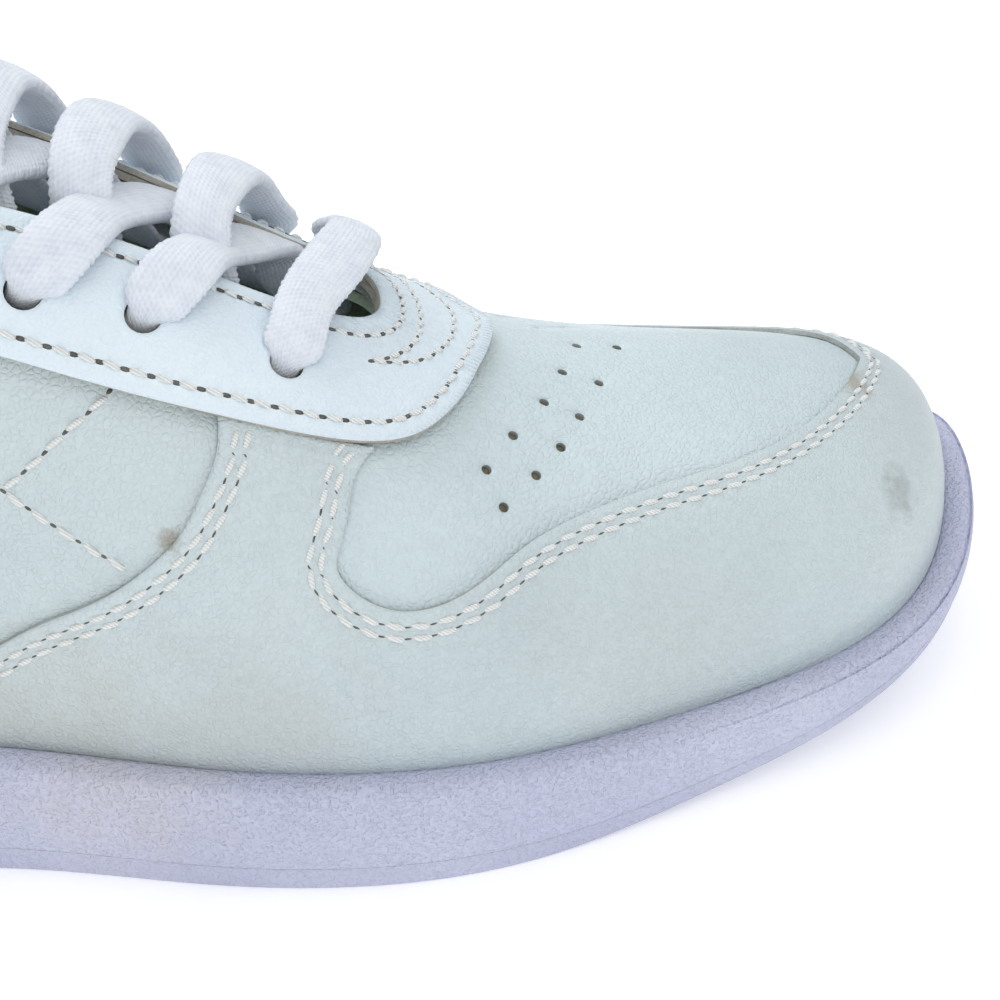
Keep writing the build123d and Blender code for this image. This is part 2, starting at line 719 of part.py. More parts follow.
def aglet(side):
    """Clear tube round the end of a lace."""
    before, end = lace_tail_route(side)[-2:]
    direction = (end - before) / np.linalg.norm(end - before)
    plane = Plane(origin=Vector(*map(float, end + direction * 0.02)), z_dir=Vector(*map(float, direction)))
    return plane * Cylinder(AGLET_RADIUS, AGLET_LENGTH, align=(Align.CENTER, Align.CENTER, Align.MIN))


# ---------------------------------------------------------------- the assembly

SIDES = {"lateral": -1, "medial": 1}


def shoe_nodes():
    nodes = {
        "outsole": outsole(),
        "midsole": midsole(),
        "lasting_board": lasting_board(),
        "insole": insole(),
        "vamp": vamp(),
        "mudguard": mudguard(),
        "heel_patch": heel_patch(),
        "eyestay": eyestay(),
        "eyestay_backing": eyestay_backing(),
        "toe_puff": toe_puff(),
        "heel_counter": heel_counter(),
        "vamp_lining": vamp_lining(),
        "collar_foam": collar_foam(),
        "collar_lining": collar_lining(),
    }
    for name, side in SIDES.items():
        nodes["quarter_" + name] = quarter(side)
        nodes["quarter_lining_" + name] = quarter_lining(side)
    for name, layer in TONGUE_LAYERS.items():
        nodes["tongue_" + name] = tongue_base(layer)
        nodes["tongue_flap_" + name] = tongue_flap(layer)
    return nodes


def lace_nodes():
    nodes = {"lace_bar": cord("lace_bar", lace_bar()), "bow_knot": knot()}
    for name, side in SIDES.items():
        for row in range(ROWS - 1):
            node = f"lace_run_{row + 1}_{name}"
            nodes[node] = cord(node, lace_cross(row, side))
        nodes["lace_lead_" + name] = cord("lace_lead_" + name, lace_lead(side))
        nodes["bow_loop_" + name] = cord("bow_loop_" + name, bow_loop(side))
        nodes["lace_tail_" + name] = cord("lace_tail_" + name, lace_tail_route(side))
        nodes["aglet_" + name] = aglet(side)
    return nodes


def main():
    os.makedirs("parts", exist_ok=True)
    for name, solid in {**shoe_nodes(), **lace_nodes()}.items():
        export_step(solid, f"parts/{name}.step")


main()
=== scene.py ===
import math

import bpy
import numpy as np
from mathutils import Matrix, Vector, kdtree
from mathutils.geometry import delaunay_2d_cdt


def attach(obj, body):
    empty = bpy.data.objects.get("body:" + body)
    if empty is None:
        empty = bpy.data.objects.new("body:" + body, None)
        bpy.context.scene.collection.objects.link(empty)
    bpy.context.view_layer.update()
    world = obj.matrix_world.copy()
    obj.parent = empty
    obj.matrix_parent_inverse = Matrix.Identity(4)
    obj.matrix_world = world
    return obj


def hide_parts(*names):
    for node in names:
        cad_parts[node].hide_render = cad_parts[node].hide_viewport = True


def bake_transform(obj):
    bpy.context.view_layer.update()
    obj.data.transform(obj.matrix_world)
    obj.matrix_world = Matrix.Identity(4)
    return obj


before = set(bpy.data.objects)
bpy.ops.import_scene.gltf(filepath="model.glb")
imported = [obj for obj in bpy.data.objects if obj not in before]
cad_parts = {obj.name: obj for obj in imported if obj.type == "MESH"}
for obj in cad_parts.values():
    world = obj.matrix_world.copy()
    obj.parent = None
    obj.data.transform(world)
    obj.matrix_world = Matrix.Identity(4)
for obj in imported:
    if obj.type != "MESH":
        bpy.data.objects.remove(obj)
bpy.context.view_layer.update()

# A low-cut cheer shoe for the right foot. Lengths in this script are millimetres until a mesh is made.
# The toe points to +X, the outer (lateral) side to -Y, the inner (medial) side to +Y and up is +Z.

MM = 0.001
SIDES = (("lateral", -1), ("medial", 1))
random = np.random.default_rng(7)

# ---------------------------------------------------------------- the shoe's form, as the solids have it

LENGTH = 272.5
HALF = LENGTH / 2
CENTRE_Y = 2.5

SOLE_LATERAL = [(-HALF, 2), (-125, -19), (-98, -31), (-38, -31), (4, -42), (42, -47), (76, -40),
                (104, -31.5), (125, -14.5)]
SOLE_TIP = (HALF, 15)
SOLE_MEDIAL = [(133, 29.5), (114, 40.5), (84, 46), (56, 47), (18, 39.5), (-32, 32.5), (-98, 35),
               (-125, 23)]
RIM_HEIGHT = [(-HALF, 26), (-100, 24), (-45, 21), (9, 18.5), (42, 17.5), (75, 15.5), (103, 16.5),
              (121, 19), (HALF, 23.5)]
TOE_SPRING, TOE_SPRING_START = 17.0, 45.0
HEEL_BEVEL, HEEL_BEVEL_START = 3.0, -112.0
OUTSOLE_SHARE = 0.22
FLANGE = 6.0
TUCK, TUCK_SHARE = 6.0, 0.33

# Half of the top line: place round the shoe, X, distance from the centre line, height, then how the
# wall bulges, how steep it stands, how far the crown reaches and how deep it dips.
TOP_LINE = [
    (0.000, -123.0, 0.0, 86.0, 4, 24, 2, 26),
    (0.050, -115.0, 18.0, 79.0, 4, 22, 2, 22),
    (0.100, -98.0, 26.0, 68.0, 4, 20, 2, 16),
    (0.140, -78.0, 28.5, 65.0, 3, 20, 3, 14),
    (0.170, -61.0, 26.0, 75.0, 3, 22, 6, 18),
    (0.195, -50.0, 21.0, 89.0, 3, 26, 10, 24),
    (0.215, -42.0, 17.0, 98.0, 4, 30, 14, 24),
    (0.250, -20.0, 13.5, 92.5, 5, 32, 18, 20),
    (0.285, 0.0, 11.5, 83.0, 6, 30, 20, 16),
    (0.320, 16.5, 10.5, 73.5, 5, 27, 24, 16),
    (0.360, 28.0, 9.0, 67.5, 4, 27, 26, 17),
    (0.410, 33.0, 6.5, 65.5, 4, 31, 29, 18),
    (0.455, 34.3, 3.5, 65.0, 4, 36, 31, 20),
    (0.500, 34.6, 0.0, 65.0, 4, 38, 32, 20.5),
]


def natural_curve(knots, values):
    """Smooth cubic through the values, straight at both ends."""
    t = np.asarray(knots, float)
    y = np.asarray(values, float).reshape(len(t), -1)
    h = np.diff(t)
    n = len(t)
    a = np.eye(n)
    b = np.zeros_like(y)
    for i in range(1, n - 1):
        a[i, i - 1:i + 2] = h[i - 1], 2 * (h[i - 1] + h[i]), h[i]
        b[i] = 6 * ((y[i + 1] - y[i]) / h[i] - (y[i] - y[i - 1]) / h[i - 1])
    bend = np.linalg.solve(a, b)

    def at(x):
        x = np.asarray(x, float)
        i = np.clip(np.searchsorted(t, x) - 1, 0, n - 2)
        w = ((x - t[i]) / h[i])[..., None]
        step = h[i][..., None]
        curve = ((w ** 3 - w) * bend[i + 1] + ((1 - w) ** 3 - (1 - w)) * bend[i]) * step ** 2 / 6
        return y[i] * (1 - w) + y[i + 1] * w + curve

    return at


def closed_curve(knots, values, period):
    """Smooth cubic through the values that joins up with itself after one period."""
    t = np.concatenate([np.asarray(knots, float) + period * (k - 1) for k in range(3)])
    y = np.concatenate([np.asarray(values, float)] * 3)
    start = knots[0]
    lap = natural_curve(t, y)
    return lambda x: lap(start + np.mod(np.asarray(x, float) - start, period))


def along(points):
    rows = sorted(points)
    curve = natural_curve([p[0] for p in rows], [p[1] for p in rows])
    return lambda x: curve(x)[..., 0]


def running_length(points):
    """Distance along a line, from its start to each of its points."""
    return np.concatenate([[0], np.cumsum(np.linalg.norm(np.diff(points, axis=0), axis=1))])


def points_at(places, length, points):
    """Points of a line at the given distances along it."""
    return np.stack([np.interp(places, length, points[:, k]) for k in range(points.shape[1])], -1)


def even_points(points, count):
    """The same path with its points evenly spaced."""
    length = running_length(points)
    return points_at(np.linspace(0, length[-1], count), length, points)


def unit(vectors):
    """Rows of vectors, each with the length one."""
    return vectors / np.linalg.norm(vectors, axis=-1)[..., None]


rim_height = along(RIM_HEIGHT)


def ground_height(x):
    x = np.asarray(x, float)
    toe = np.clip((x - TOE_SPRING_START) / (HALF - TOE_SPRING_START), 0, None)
    heel = np.clip((HEEL_BEVEL_START - x) / (HEEL_BEVEL_START + HALF), 0, None)
    return TOE_SPRING * toe ** 2 + HEEL_BEVEL * heel ** 2


def sole_height(x):
    return rim_height(x) - ground_height(x)


def split_height(x):
    return ground_height(x) + OUTSOLE_SHARE * sole_height(x)


def tuck_depth(x):
    return np.minimum(TUCK, TUCK_SHARE * sole_height(x))


def sole_outline(inset, count=800):
    """Plan outline of the sole moved inwards, from the heel over the toe back to the heel."""
    corners = np.array(SOLE_LATERAL + [SOLE_TIP] + SOLE_MEDIAL, float)
    chords = np.linalg.norm(np.diff(np.vstack([corners, corners[:1]]), axis=0), axis=1)
    knots = np.concatenate([[0], np.cumsum(np.sqrt(chords))])
    curve = closed_curve(knots[:-1], corners, knots[-1])
    tip = knots[len(SOLE_LATERAL)]
    halves = []
    for start, end in ((0, tip), (tip, knots[-1])):
        t = np.linspace(start, end, 2000)
        step = knots[-1] * 1e-5
        direction = curve(t + step) - curve(t - step)
        inward = unit(np.stack([-direction[:, 1], direction[:, 0]], 1))
        halves.append(even_points(curve(t) + inward * inset, count // 2 + 1))
    return np.vstack([halves[0], halves[1][1:]])


FOOT_LINE = sole_outline(FLANGE)


def foot_point(u):
    place = np.mod(u, 1.0) * (len(FOOT_LINE) - 1)
    return points_at(place, np.arange(len(FOOT_LINE)), FOOT_LINE)


def top_line_rows():
    lateral = [(u, x, CENTRE_Y - gap, *rest) for u, x, gap, *rest in TOP_LINE]
    medial = [(1 - u, x, CENTRE_Y + gap, *rest) for u, x, gap, *rest in TOP_LINE[-2:0:-1]]
    return np.array(lateral + medial, float)


TOP_ROWS = top_line_rows()
top_line = closed_curve(TOP_ROWS[:, 0], TOP_ROWS[:, 1:], 1.0)


def surface(u, v):
    """Point of the upper: u goes round the shoe and v from the sole up to the top line."""
    u, v = np.broadcast_arrays(np.asarray(u, float), np.asarray(v, float))
    foot = foot_point(u)
    row = top_line(u)
    top, height = row[..., :2], row[..., 2]
    bulge, wall, crown, dip = (row[..., k] for k in (3, 4, 5, 6))
    outward = foot - top
    reach = np.linalg.norm(outward, axis=-1)
    outward = outward / reach[..., None]
    rim = rim_height(foot[..., 0])
    low = rim - tuck_depth(foot[..., 0])
    weights = (1 - v) ** 3, 3 * v * (1 - v) ** 2, 3 * v * v * (1 - v), v ** 3
    distances = reach, reach + bulge, crown, 0 * reach
    heights = low, rim - TUCK + wall, height - dip, height
    r = sum(w * d for w, d in zip(weights, distances))
    z = sum(w * h for w, h in zip(weights, heights))
    return np.concatenate([top + outward * r[..., None], z[..., None]], -1)


def slopes(u, v):
    """How the surface runs round the shoe and up the wall."""
    step = 1e-3
    round_shoe = (surface(u + step, v) - surface(u - step, v)) / (2 * step)
    up_wall = (surface(u, v + step) - surface(u, v - step)) / (2 * step)
    return round_shoe, up_wall


def outward_normal(u, v):
    return unit(np.cross(*slopes(u, v)))


def raised(u, v, height):
    """Point at a height over the surface."""
    height = np.asarray(height, float)
    return surface(u, v) + outward_normal(u, v) * height[..., None]


# ---------------------------------------------------------------- colours and finishes


def colour(code):
    """Linear colour of an sRGB hex value."""
    parts = [int(code[i:i + 2], 16) / 255 for i in (1, 3, 5)]
    return [c / 12.92 if c <= 0.04045 else ((c + 0.055) / 1.055) ** 2.4 for c in parts] + [1.0]


def add(tree, kind, settings, links=()):
    """Adds one node with its settings and with what feeds its sockets."""
    node = tree.nodes.new(kind)
    for key, value in settings.items():
        if isinstance(key, str) and hasattr(node, key):
            setattr(node, key, value)
        else:
            node.inputs[key].default_value = value
    for socket, source in dict(links).items():
        tree.links.new(source, node.inputs[socket])
    return node


def new_material(name):
    material = bpy.data.materials.new(name)
    material.use_nodes = True
    tree = material.node_tree
    tree.nodes.clear()
    coordinates = add(tree, "ShaderNodeTexCoord", {})
    millimetres = add(tree, "ShaderNodeMapping", {"Scale": (1000, 1000, 1000)},
                      {"Vector": coordinates.outputs["Object"]})
    return material, tree, millimetres.outputs["Vector"]


def blend_colours(tree, factor, first, second):
    """Mix of two colours, each a hex value or a socket."""
    settings, links = {"data_type": "RGBA"}, {"Factor": factor}
    node = add(tree, "ShaderNodeMix", settings, links)
    for socket, value in ((node.inputs[6], first), (node.inputs[7], second)):
        if isinstance(value, str):
            socket.default_value = colour(value)
        else:
            tree.links.new(value, socket)
    return node.outputs[2]


def ramp(tree, source, low, high, start=0.0, end=1.0):
    """Turns a range of values into another, smoothly and held at both ends."""
    settings = {"interpolation_type": "SMOOTHSTEP", "From Min": low, "From Max": high,
                "To Min": start, "To Max": end}
    return add(tree, "ShaderNodeMapRange", settings, {"Value": source}).outputs["Result"]


def noise(tree, vector, size, detail=2.0, roughness=0.5):
    settings = {"Scale": 1 / size, "Detail": detail, "Roughness": roughness}
    return add(tree, "ShaderNodeTexNoise", settings, {"Vector": vector}).outputs["Fac"]


def cells(tree, vector, size, feature="F1"):
    settings = {"feature": feature, "Scale": 1 / size}
    return add(tree, "ShaderNodeTexVoronoi", settings, {"Vector": vector}).outputs["Distance"]


def warped(tree, vector, size, detail, reach):
    """Coordinates pushed about by a noise, so that an even pattern wanders."""
    push = add(tree, "ShaderNodeTexNoise", {"Scale": 1 / size, "Detail": detail}, {"Vector": vector})
    settings = {"operation": "MULTIPLY_ADD", 1: (reach,) * 3}
    return add(tree, "ShaderNodeVectorMath", settings,
               {0: push.outputs["Color"], 2: vector}).outputs["Vector"]


def sine(tree, source):
    return add(tree, "ShaderNodeMath", {"operation": "SINE"}, {0: source}).outputs[0]


def bands(tree, vector, direction, scale, distortion, detail=2.0):
    """Soft stripes across one direction."""
    settings = {"wave_type": "BANDS", "bands_direction": direction, "Scale": scale,
                "Distortion": distortion, "Detail": detail}
    return add(tree, "ShaderNodeTexWave", settings, {"Vector": vector}).outputs["Fac"]


def total(tree, *terms):
    """Sum of sockets, each times its number."""
    result = None
    for source, share in terms:
        if result is None:
            result = add(tree, "ShaderNodeMath", {"operation": "MULTIPLY", 1: share},
                         {0: source}).outputs[0]
        else:
            settings = {"operation": "MULTIPLY_ADD", 1: share}
            result = add(tree, "ShaderNodeMath", settings, {0: source, 2: result}).outputs[0]
    return result


def finish_material(tree, base, roughness, height, depth_mm, settings=None):
    """Ends a material: its colour, its roughness and its relief, with a depth in millimetres."""
    bump = add(tree, "ShaderNodeBump", {"Strength": 1.0, "Distance": depth_mm * MM},
               {"Height": height})
    shader = add(tree, "ShaderNodeBsdfPrincipled", settings or {},
                 {"Base Color": base, "Roughness": roughness, "Normal": bump.outputs["Normal"]})
    add(tree, "ShaderNodeOutputMaterial", {}, {"Surface": shader.outputs["BSDF"]})


def add_stains_and_painted_shade(tree, vector, base, places):
    """Adds soft patches of stain and of painted shade: each has a centre, a radius, a strength and a
    colour.
    """
    for centre, radius, strength, code in places:
        offset = add(tree, "ShaderNodeVectorMath", {"operation": "DISTANCE", 1: centre},
                     {0: vector})
        uneven = noise(tree, vector, radius * 0.45, 4.0, 0.6)
        edge = total(tree, (offset.outputs["Value"], 1 / radius), (uneven, 1.5))
        mask = ramp(tree, edge, 0.85, 1.75, strength, 0.0)
        base = blend_colours(tree, mask, base, code)
    return base


def coated_leather(name, light, dark, pebble, depth, gloss, marks=()):
    """Split leather under a pressed white polyurethane film: a soft satin sheen over fine pebbles."""
    material, tree, vector = new_material(name)
    shifted = warped(tree, vector, pebble * 2.2, 2.0, pebble * 0.7)
    pebbles = ramp(tree, cells(tree, shifted, pebble, "DISTANCE_TO_EDGE"), 0.0, 0.28)
    lumps = noise(tree, shifted, pebble * 1.6, 3.0, 0.6)
    waves = noise(tree, vector, 14.0, 2.0)
    height = total(tree, (pebbles, 0.6), (lumps, 0.5), (waves, 0.9))
    tint = total(tree, (noise(tree, vector, 55.0, 3.0), 0.8), (lumps, 0.25))
    base = blend_colours(tree, ramp(tree, tint, 0.38, 0.72), light, dark)
    base = add_stains_and_painted_shade(tree, vector, base, marks)
    polish = total(tree, (noise(tree, vector, 9.0, 4.0, 0.6), 0.16), (pebbles, -0.05))
    rough = add(tree, "ShaderNodeMath", {"operation": "ADD", 1: gloss - 0.06}, {0: polish}).outputs[0]
    finish_material(tree, base, rough, height, depth,
                    {"IOR": 1.48, "Coat Weight": 0.12, "Coat Roughness": 0.35,
                     "Sheen Weight": 0.05, "Sheen Roughness": 0.5})
    return material


def raw_edge(name, film, core):
    """Knife-cut edge of coated leather: thin white film over a fibrous grey-beige core. Made darker, the
    same finish also stands for painted shade.
    """
    material, tree, vector = new_material(name)
    fibres = noise(tree, vector, 0.35, 5.0, 0.7)
    patches = noise(tree, vector, 5.0, 3.0)
    base = blend_colours(tree, ramp(tree, total(tree, (fibres, 0.6), (patches, 0.5)), 0.4, 0.7),
                         film, core)
    finish_material(tree, base, ramp(tree, fibres, 0.2, 0.8, 0.7, 0.95), fibres, 0.12,
                    {"IOR": 1.45})
    return material


def foam_sidewall(name, light, dark, wrinkle, depth, dots):
    """Injected EVA foam with a spark-etched mould texture: matt, with a worm-like relief."""
    material, tree, vector = new_material(name)
    shifted = warped(tree, vector, wrinkle * 1.5, 1.0, wrinkle * 2.2)
    worms = ramp(tree, cells(tree, shifted, wrinkle, "SMOOTH_F1"), 0.15, 0.6)
    grit = noise(tree, vector, wrinkle * 0.5, 3.0, 0.6)
    pits = ramp(tree, cells(tree, vector, dots), 0.1, 0.45)
    height = total(tree, (worms, 0.8), (grit, 0.5), (pits, 0.35))
    tint = noise(tree, vector, 42.0, 3.0)
    base = blend_colours(tree, ramp(tree, tint, 0.35, 0.68), light, dark)
    # Two broad pinkish-beige patches darken the outer side of the wall below the rim.
    marks = [((-60.0, -34.0, 19.0), 26.0, 0.35, "#C9BEB6"), ((-5.0, -40.0, 17.5), 20.0, 0.3, "#CFC6C2")]
    base = add_stains_and_painted_shade(tree, vector, base, marks)
    finish_material(tree, base, ramp(tree, grit, 0.2, 0.8, 0.5, 0.68), height, depth,
                    {"IOR": 1.46, "Subsurface Weight": 0.06, "Subsurface Radius": (1.0, 0.9, 0.9),
                     "Subsurface Scale": 0.002})
    return material


BRAID_RIB = 0.62         # width of one knitted rib, in millimetres
YARN_CROSSING = 0.7      # length of one crossing of the yarns


def braid(name, light, dark):
    """Flat tubular braid of bulked polyester: rows of small knitted ribs and a soft fuzz."""
    material, tree, vector = new_material(name)
    place = add(tree, "ShaderNodeUVMap", {"uv_map": "Along"}).outputs["UV"]
    parts = add(tree, "ShaderNodeSeparateXYZ", {}, {"Vector": place})
    s, t = parts.outputs["X"], parts.outputs["Y"]
    rib_wave = sine(tree, total(tree, (t, 2 * math.pi / BRAID_RIB)))
    slant = sine(tree, total(tree, (s, 2 * math.pi / YARN_CROSSING), (t, math.pi / BRAID_RIB)))
    fuzz = noise(tree, vector, 0.25, 4.0, 0.7)
    clumps = noise(tree, vector, 2.2, 3.0, 0.6)
    height = total(tree, (rib_wave, 0.16), (slant, 0.14), (fuzz, 0.8), (clumps, 0.5))
    shade = ramp(tree, total(tree, (rib_wave, 0.06), (slant, 0.06), (clumps, 0.9)), 0.0, 0.7)
    base = blend_colours(tree, shade, dark, light)
    finish_material(tree, base, ramp(tree, fuzz, 0.2, 0.8, 0.72, 0.9), height, 0.2,
                    {"IOR": 1.5, "Sheen Weight": 0.35, "Sheen Roughness": 0.4,
                     "Subsurface Weight": 0.08, "Subsurface Radius": (1.0, 1.0, 1.0),
                     "Subsurface Scale": 0.001})
    return material


def knitted(name, light, dark, stitch, depth, sheen=0.3):
    """Warp-knitted lining: rows of small loops with a soft sheen."""
    material, tree, vector = new_material(name)
    across, up = (bands(tree, vector, way, 0.32 / stitch, 1.2, 1.0) for way in "XZ")
    fuzz = noise(tree, vector, stitch * 0.5, 3.0, 0.6)
    height = total(tree, (across, 0.5), (up, 0.5), (fuzz, 0.5))
    tint = total(tree, (noise(tree, vector, 18.0, 3.0), 0.8), (fuzz, 0.3))
    base = blend_colours(tree, ramp(tree, tint, 0.35, 0.75), light, dark)
    finish_material(tree, base, ramp(tree, fuzz, 0.2, 0.8, 0.8, 0.95), height, depth,
                    {"IOR": 1.5, "Sheen Weight": sheen, "Sheen Roughness": 0.45})
    return material


def thread(name, light, dark):
    """Bonded nylon sewing thread: two plies laid together, with a slight gloss."""
    material, tree, vector = new_material(name)
    plies = bands(tree, vector, "DIAGONAL", 0.9, 0.6)
    fuzz = noise(tree, vector, 0.4, 3.0)
    base = blend_colours(tree, ramp(tree, total(tree, (plies, 0.6), (fuzz, 0.5)), 0.2, 0.9), dark, light)
    finish_material(tree, base, ramp(tree, fuzz, 0.2, 0.8, 0.42, 0.6), plies, 0.12,
                    {"IOR": 1.53, "Sheen Weight": 0.2, "Sheen Roughness": 0.4})
    return material


def speckled(name, light, dark, grain, rough, depth, settings=None):
    """Board, moulded sheet or foam: an even body with a fine speckle."""
    material, tree, vector = new_material(name)
    speckle = noise(tree, vector, grain, 5.0, 0.65)
    cloud = noise(tree, vector, grain * 14, 2.0)
    tint = ramp(tree, total(tree, (speckle, 0.6), (cloud, 0.5)), 0.35, 0.75)
    base = blend_colours(tree, tint, light, dark)
    finish_material(tree, base, ramp(tree, speckle, 0.2, 0.8, rough - 0.08, rough + 0.08), speckle,
                    depth, {"IOR": 1.48, **(settings or {})})
    return material


# Soft patches on the pebbled leather. The three small ones, two at the toe and one high on the outer
# side, are dirt. The three broad faint ones low on the outer side, along the sole, are beige stain and
# painted shade on the side turned from the light.
SCUFFS_AND_PAINTED_SHADE = [((111.6, -13.0, 33.4), 5.5, 0.5, "#85867F"), ((110.0, 5.0, 42.3), 5.0, 0.6, "#96825F"),
          ((5.7, -32.1, 52.3), 2.4, 0.6, "#8F7C5E"), ((-14.2, -30.0, 19.6), 26.0, 0.3, "#B5AC9A"),
          ((11.5, -38.2, 24.4), 22.0, 0.22, "#B8B1A2"), ((70.0, -40.0, 22.0), 26.0, 0.12, "#BDBBAE")]
LEATHER = coated_leather("pebbled coated leather", "#CEDADC", "#C1CDD0", 0.85, 0.14, 0.44, SCUFFS_AND_PAINTED_SHADE)
SMOOTH_LEATHER = coated_leather("smooth coated leather", "#D1DFE2", "#C6D4D8", 1.0, 0.14, 0.42)
STAY_LEATHER = coated_leather("firm coated leather", "#E2EEF5", "#D5E2EA", 0.8, 0.08, 0.40)
RAW_EDGE = raw_edge("raw leather edge", "#C6C1B4", "#A19B8D")
# Walls and undersides of the coated panels: the pale coated edge painted grey as shade, so that each
# raised edge shows a dark line.
PAINTED_SHADE_EDGE = raw_edge("coated leather edge in painted shade", "#B7BCB9", "#989A94")
# Outer face of the linings: laminated foam, its colour darkened as painted shade so that the
# perforations look deep.
FOAM_IN_PAINTED_SHADE = raw_edge("laminated foam in painted shade", "#8C8672", "#6E6A58")
SOLE_FOAM = foam_sidewall("spark-textured foam", "#D0D2E6", "#C5C8DF", 0.62, 0.26, 0.5)
SOLE_RUBBER = foam_sidewall("dotted moulded rubber", "#CCCEE3", "#C1C4DB", 0.5, 0.18, 0.4)
BRAID = braid("flat polyester braid", "#F1F5FC", "#D9E1ED")
THREAD = thread("bonded nylon thread", "#FBFCFB", "#E0E2DC")
NEEDLE_HOLE_SHADOW = speckled("needle hole shadow", "#74736C", "#52524C", 0.3, 0.9, 0.05)
GREEN_KNIT = knitted("pale green knitted lining", "#C6D6BE", "#A3B79C", 0.7, 0.12)
WHITE_KNIT = knitted("white knitted lining", "#E6EAEA", "#CFD7D8", 0.8, 0.14)
INSOLE_KNIT = knitted("footbed knit", "#DDE3E4", "#C3CCCF", 1.0, 0.16)
BOARD = speckled("cellulose board", "#BFB196", "#A39376", 0.5, 0.85, 0.08)
STIFF_SHEET = speckled("thermoplastic stiffener", "#CFC9BA", "#B9B19F", 0.6, 0.6, 0.05)
AGLET_FILM = speckled("heat-shrunk clear film", "#E9EDF2", "#D5DCE4", 0.6, 0.16, 0.03,
                      {"Coat Weight": 0.6, "Coat Roughness": 0.08, "Transmission Weight": 0.25})

# ---------------------------------------------------------------- meshes


def make_mesh(name, points, faces, materials, face_slots=None, crease=42.0, uv=None):
    """Piece from points in millimetres, smooth but for the edges sharper than the crease."""
    mesh = bpy.data.meshes.new(name)
    mesh.from_pydata([tuple(p) for p in np.asarray(points) * MM], [], [tuple(f) for f in faces])
    for material in materials:
        mesh.materials.append(material)
    if face_slots is not None:
        mesh.polygons.foreach_set("material_index", np.asarray(face_slots, np.int32))
    mesh.shade_smooth()
    mesh.set_sharp_from_angle(angle=math.radians(crease))
    if uv is not None:
        layer = mesh.uv_layers.new(name="Along")
        corner_vertex = np.empty(len(mesh.loops), np.int32)
        mesh.loops.foreach_get("vertex_index", corner_vertex)
        layer.data.foreach_set("uv", np.asarray(uv, float)[corner_vertex].ravel())
    mesh.update()
    piece = bpy.data.objects.new(name, mesh)
    bpy.context.collection.objects.link(piece)
    return piece


def place_piece(piece, replaced=(), body="shoe"):
    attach(piece, body)
    if replaced:
        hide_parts(*replaced)
    return piece


def grid_faces(rows, columns, start=0, closed_columns=False):
    faces = []
    for i in range(rows - 1):
        for j in range(columns if closed_columns else columns - 1):
            a, b = start + i * columns + j, start + i * columns + (j + 1) % columns
            k = i + 1
            faces.append((a, b, start + k * columns + (j + 1) % columns, start + k * columns + j))
    return faces


def tube_faces(stations, around, start=0):
    """Faces of a tube made of rings, with a lid on its first ring and on its last."""
    last = start + (stations - 1) * around
    return grid_faces(stations, around, start, closed_columns=True) + [
        tuple(range(start + around - 1, start - 1, -1)), tuple(range(last, last + around))]


# ---------------------------------------------------------------- panels cut from sheet

SPAN = np.array([700.0, 95.0])   # about what one unit round the shoe and one unit up the wall cover


def even_places(places, spacing, closed=True):
    """The same line of places, with its points evenly spaced on the shoe."""
    line = np.vstack([places, places[:1]]) if closed else np.asarray(places)
    fine = np.concatenate([np.linspace(a, b, 9)[:-1] for a, b in zip(line, line[1:])] + [line[-1:]])
    length = running_length(surface(fine[:, 0], fine[:, 1]))
    count = max(4, round(length[-1] / spacing)) + 1
    out = points_at(np.linspace(0, length[-1], count), length, fine)
    return out[:-1] if closed else out


def smooth_line(points, per_step=10):
    """Smooth curve through the given places."""
    points = np.array(points, float)
    knots = running_length(points * SPAN)
    return natural_curve(knots, points)(np.linspace(0, knots[-1], per_step * len(points)))


def moved_sideways(places, distance, closed=True):
    """The line of places moved to its left on the shoe, by a distance in millimetres."""
    u, v = places[:, 0], places[:, 1]
    points = surface(u, v)
    if closed:
        tangent = np.roll(points, -1, 0) - np.roll(points, 1, 0)
    else:
        tangent = np.gradient(points, axis=0)
    round_shoe, up_wall = slopes(u, v)
    normal = np.cross(round_shoe, up_wall)
    left = unit(np.cross(normal, tangent))
    a = (round_shoe ** 2).sum(1)
    b = (round_shoe * up_wall).sum(1)
    c = (up_wall ** 2).sum(1)
    p, q = (left * round_shoe).sum(1), (left * up_wall).sum(1)
    scale = distance / (a * c - b * b)
    return places + np.stack([(c * p - b * q) * scale, (a * q - b * p) * scale], 1)


def round_hole(u, v, radius, count=16):
    """Clockwise ring of places round a hole."""
    round_shoe, up_wall = slopes(np.array(u), np.array(v))
    first = round_shoe / np.linalg.norm(round_shoe)
    normal = np.cross(round_shoe, up_wall)
    second = np.cross(normal / np.linalg.norm(normal), first)
    basis = np.array([[round_shoe @ round_shoe, round_shoe @ up_wall],
                      [round_shoe @ up_wall, up_wall @ up_wall]])
    ring = []
    for angle in np.linspace(0, -2 * math.pi, count + 1)[:-1]:
        step = radius * (math.cos(angle) * first + math.sin(angle) * second)
        ring.append(np.linalg.solve(basis, [step @ round_shoe, step @ up_wall]))
    return np.array([u, v]) + np.array(ring)


def inside(points, loop):
    x, y = points[:, 0, None], points[:, 1, None]
    x0, y0 = loop[:, 0], loop[:, 1]
    x1, y1 = np.roll(loop, -1, 0).T
    rise = np.where(y1 == y0, 1e-12, y1 - y0)
    crossed = ((y0 > y) != (y1 > y)) & (x < x0 + (y - y0) * (x1 - x0) / rise)
    return crossed.sum(1) % 2 == 1


def tree_of(points):
    tree = kdtree.KDTree(len(points))
    for i, p in enumerate(points):
        tree.insert(p, i)
    tree.balance()
    return tree


def far_enough(points, tree, distance):
    return np.array([tree.find(p)[2] >= distance for p in points], bool)


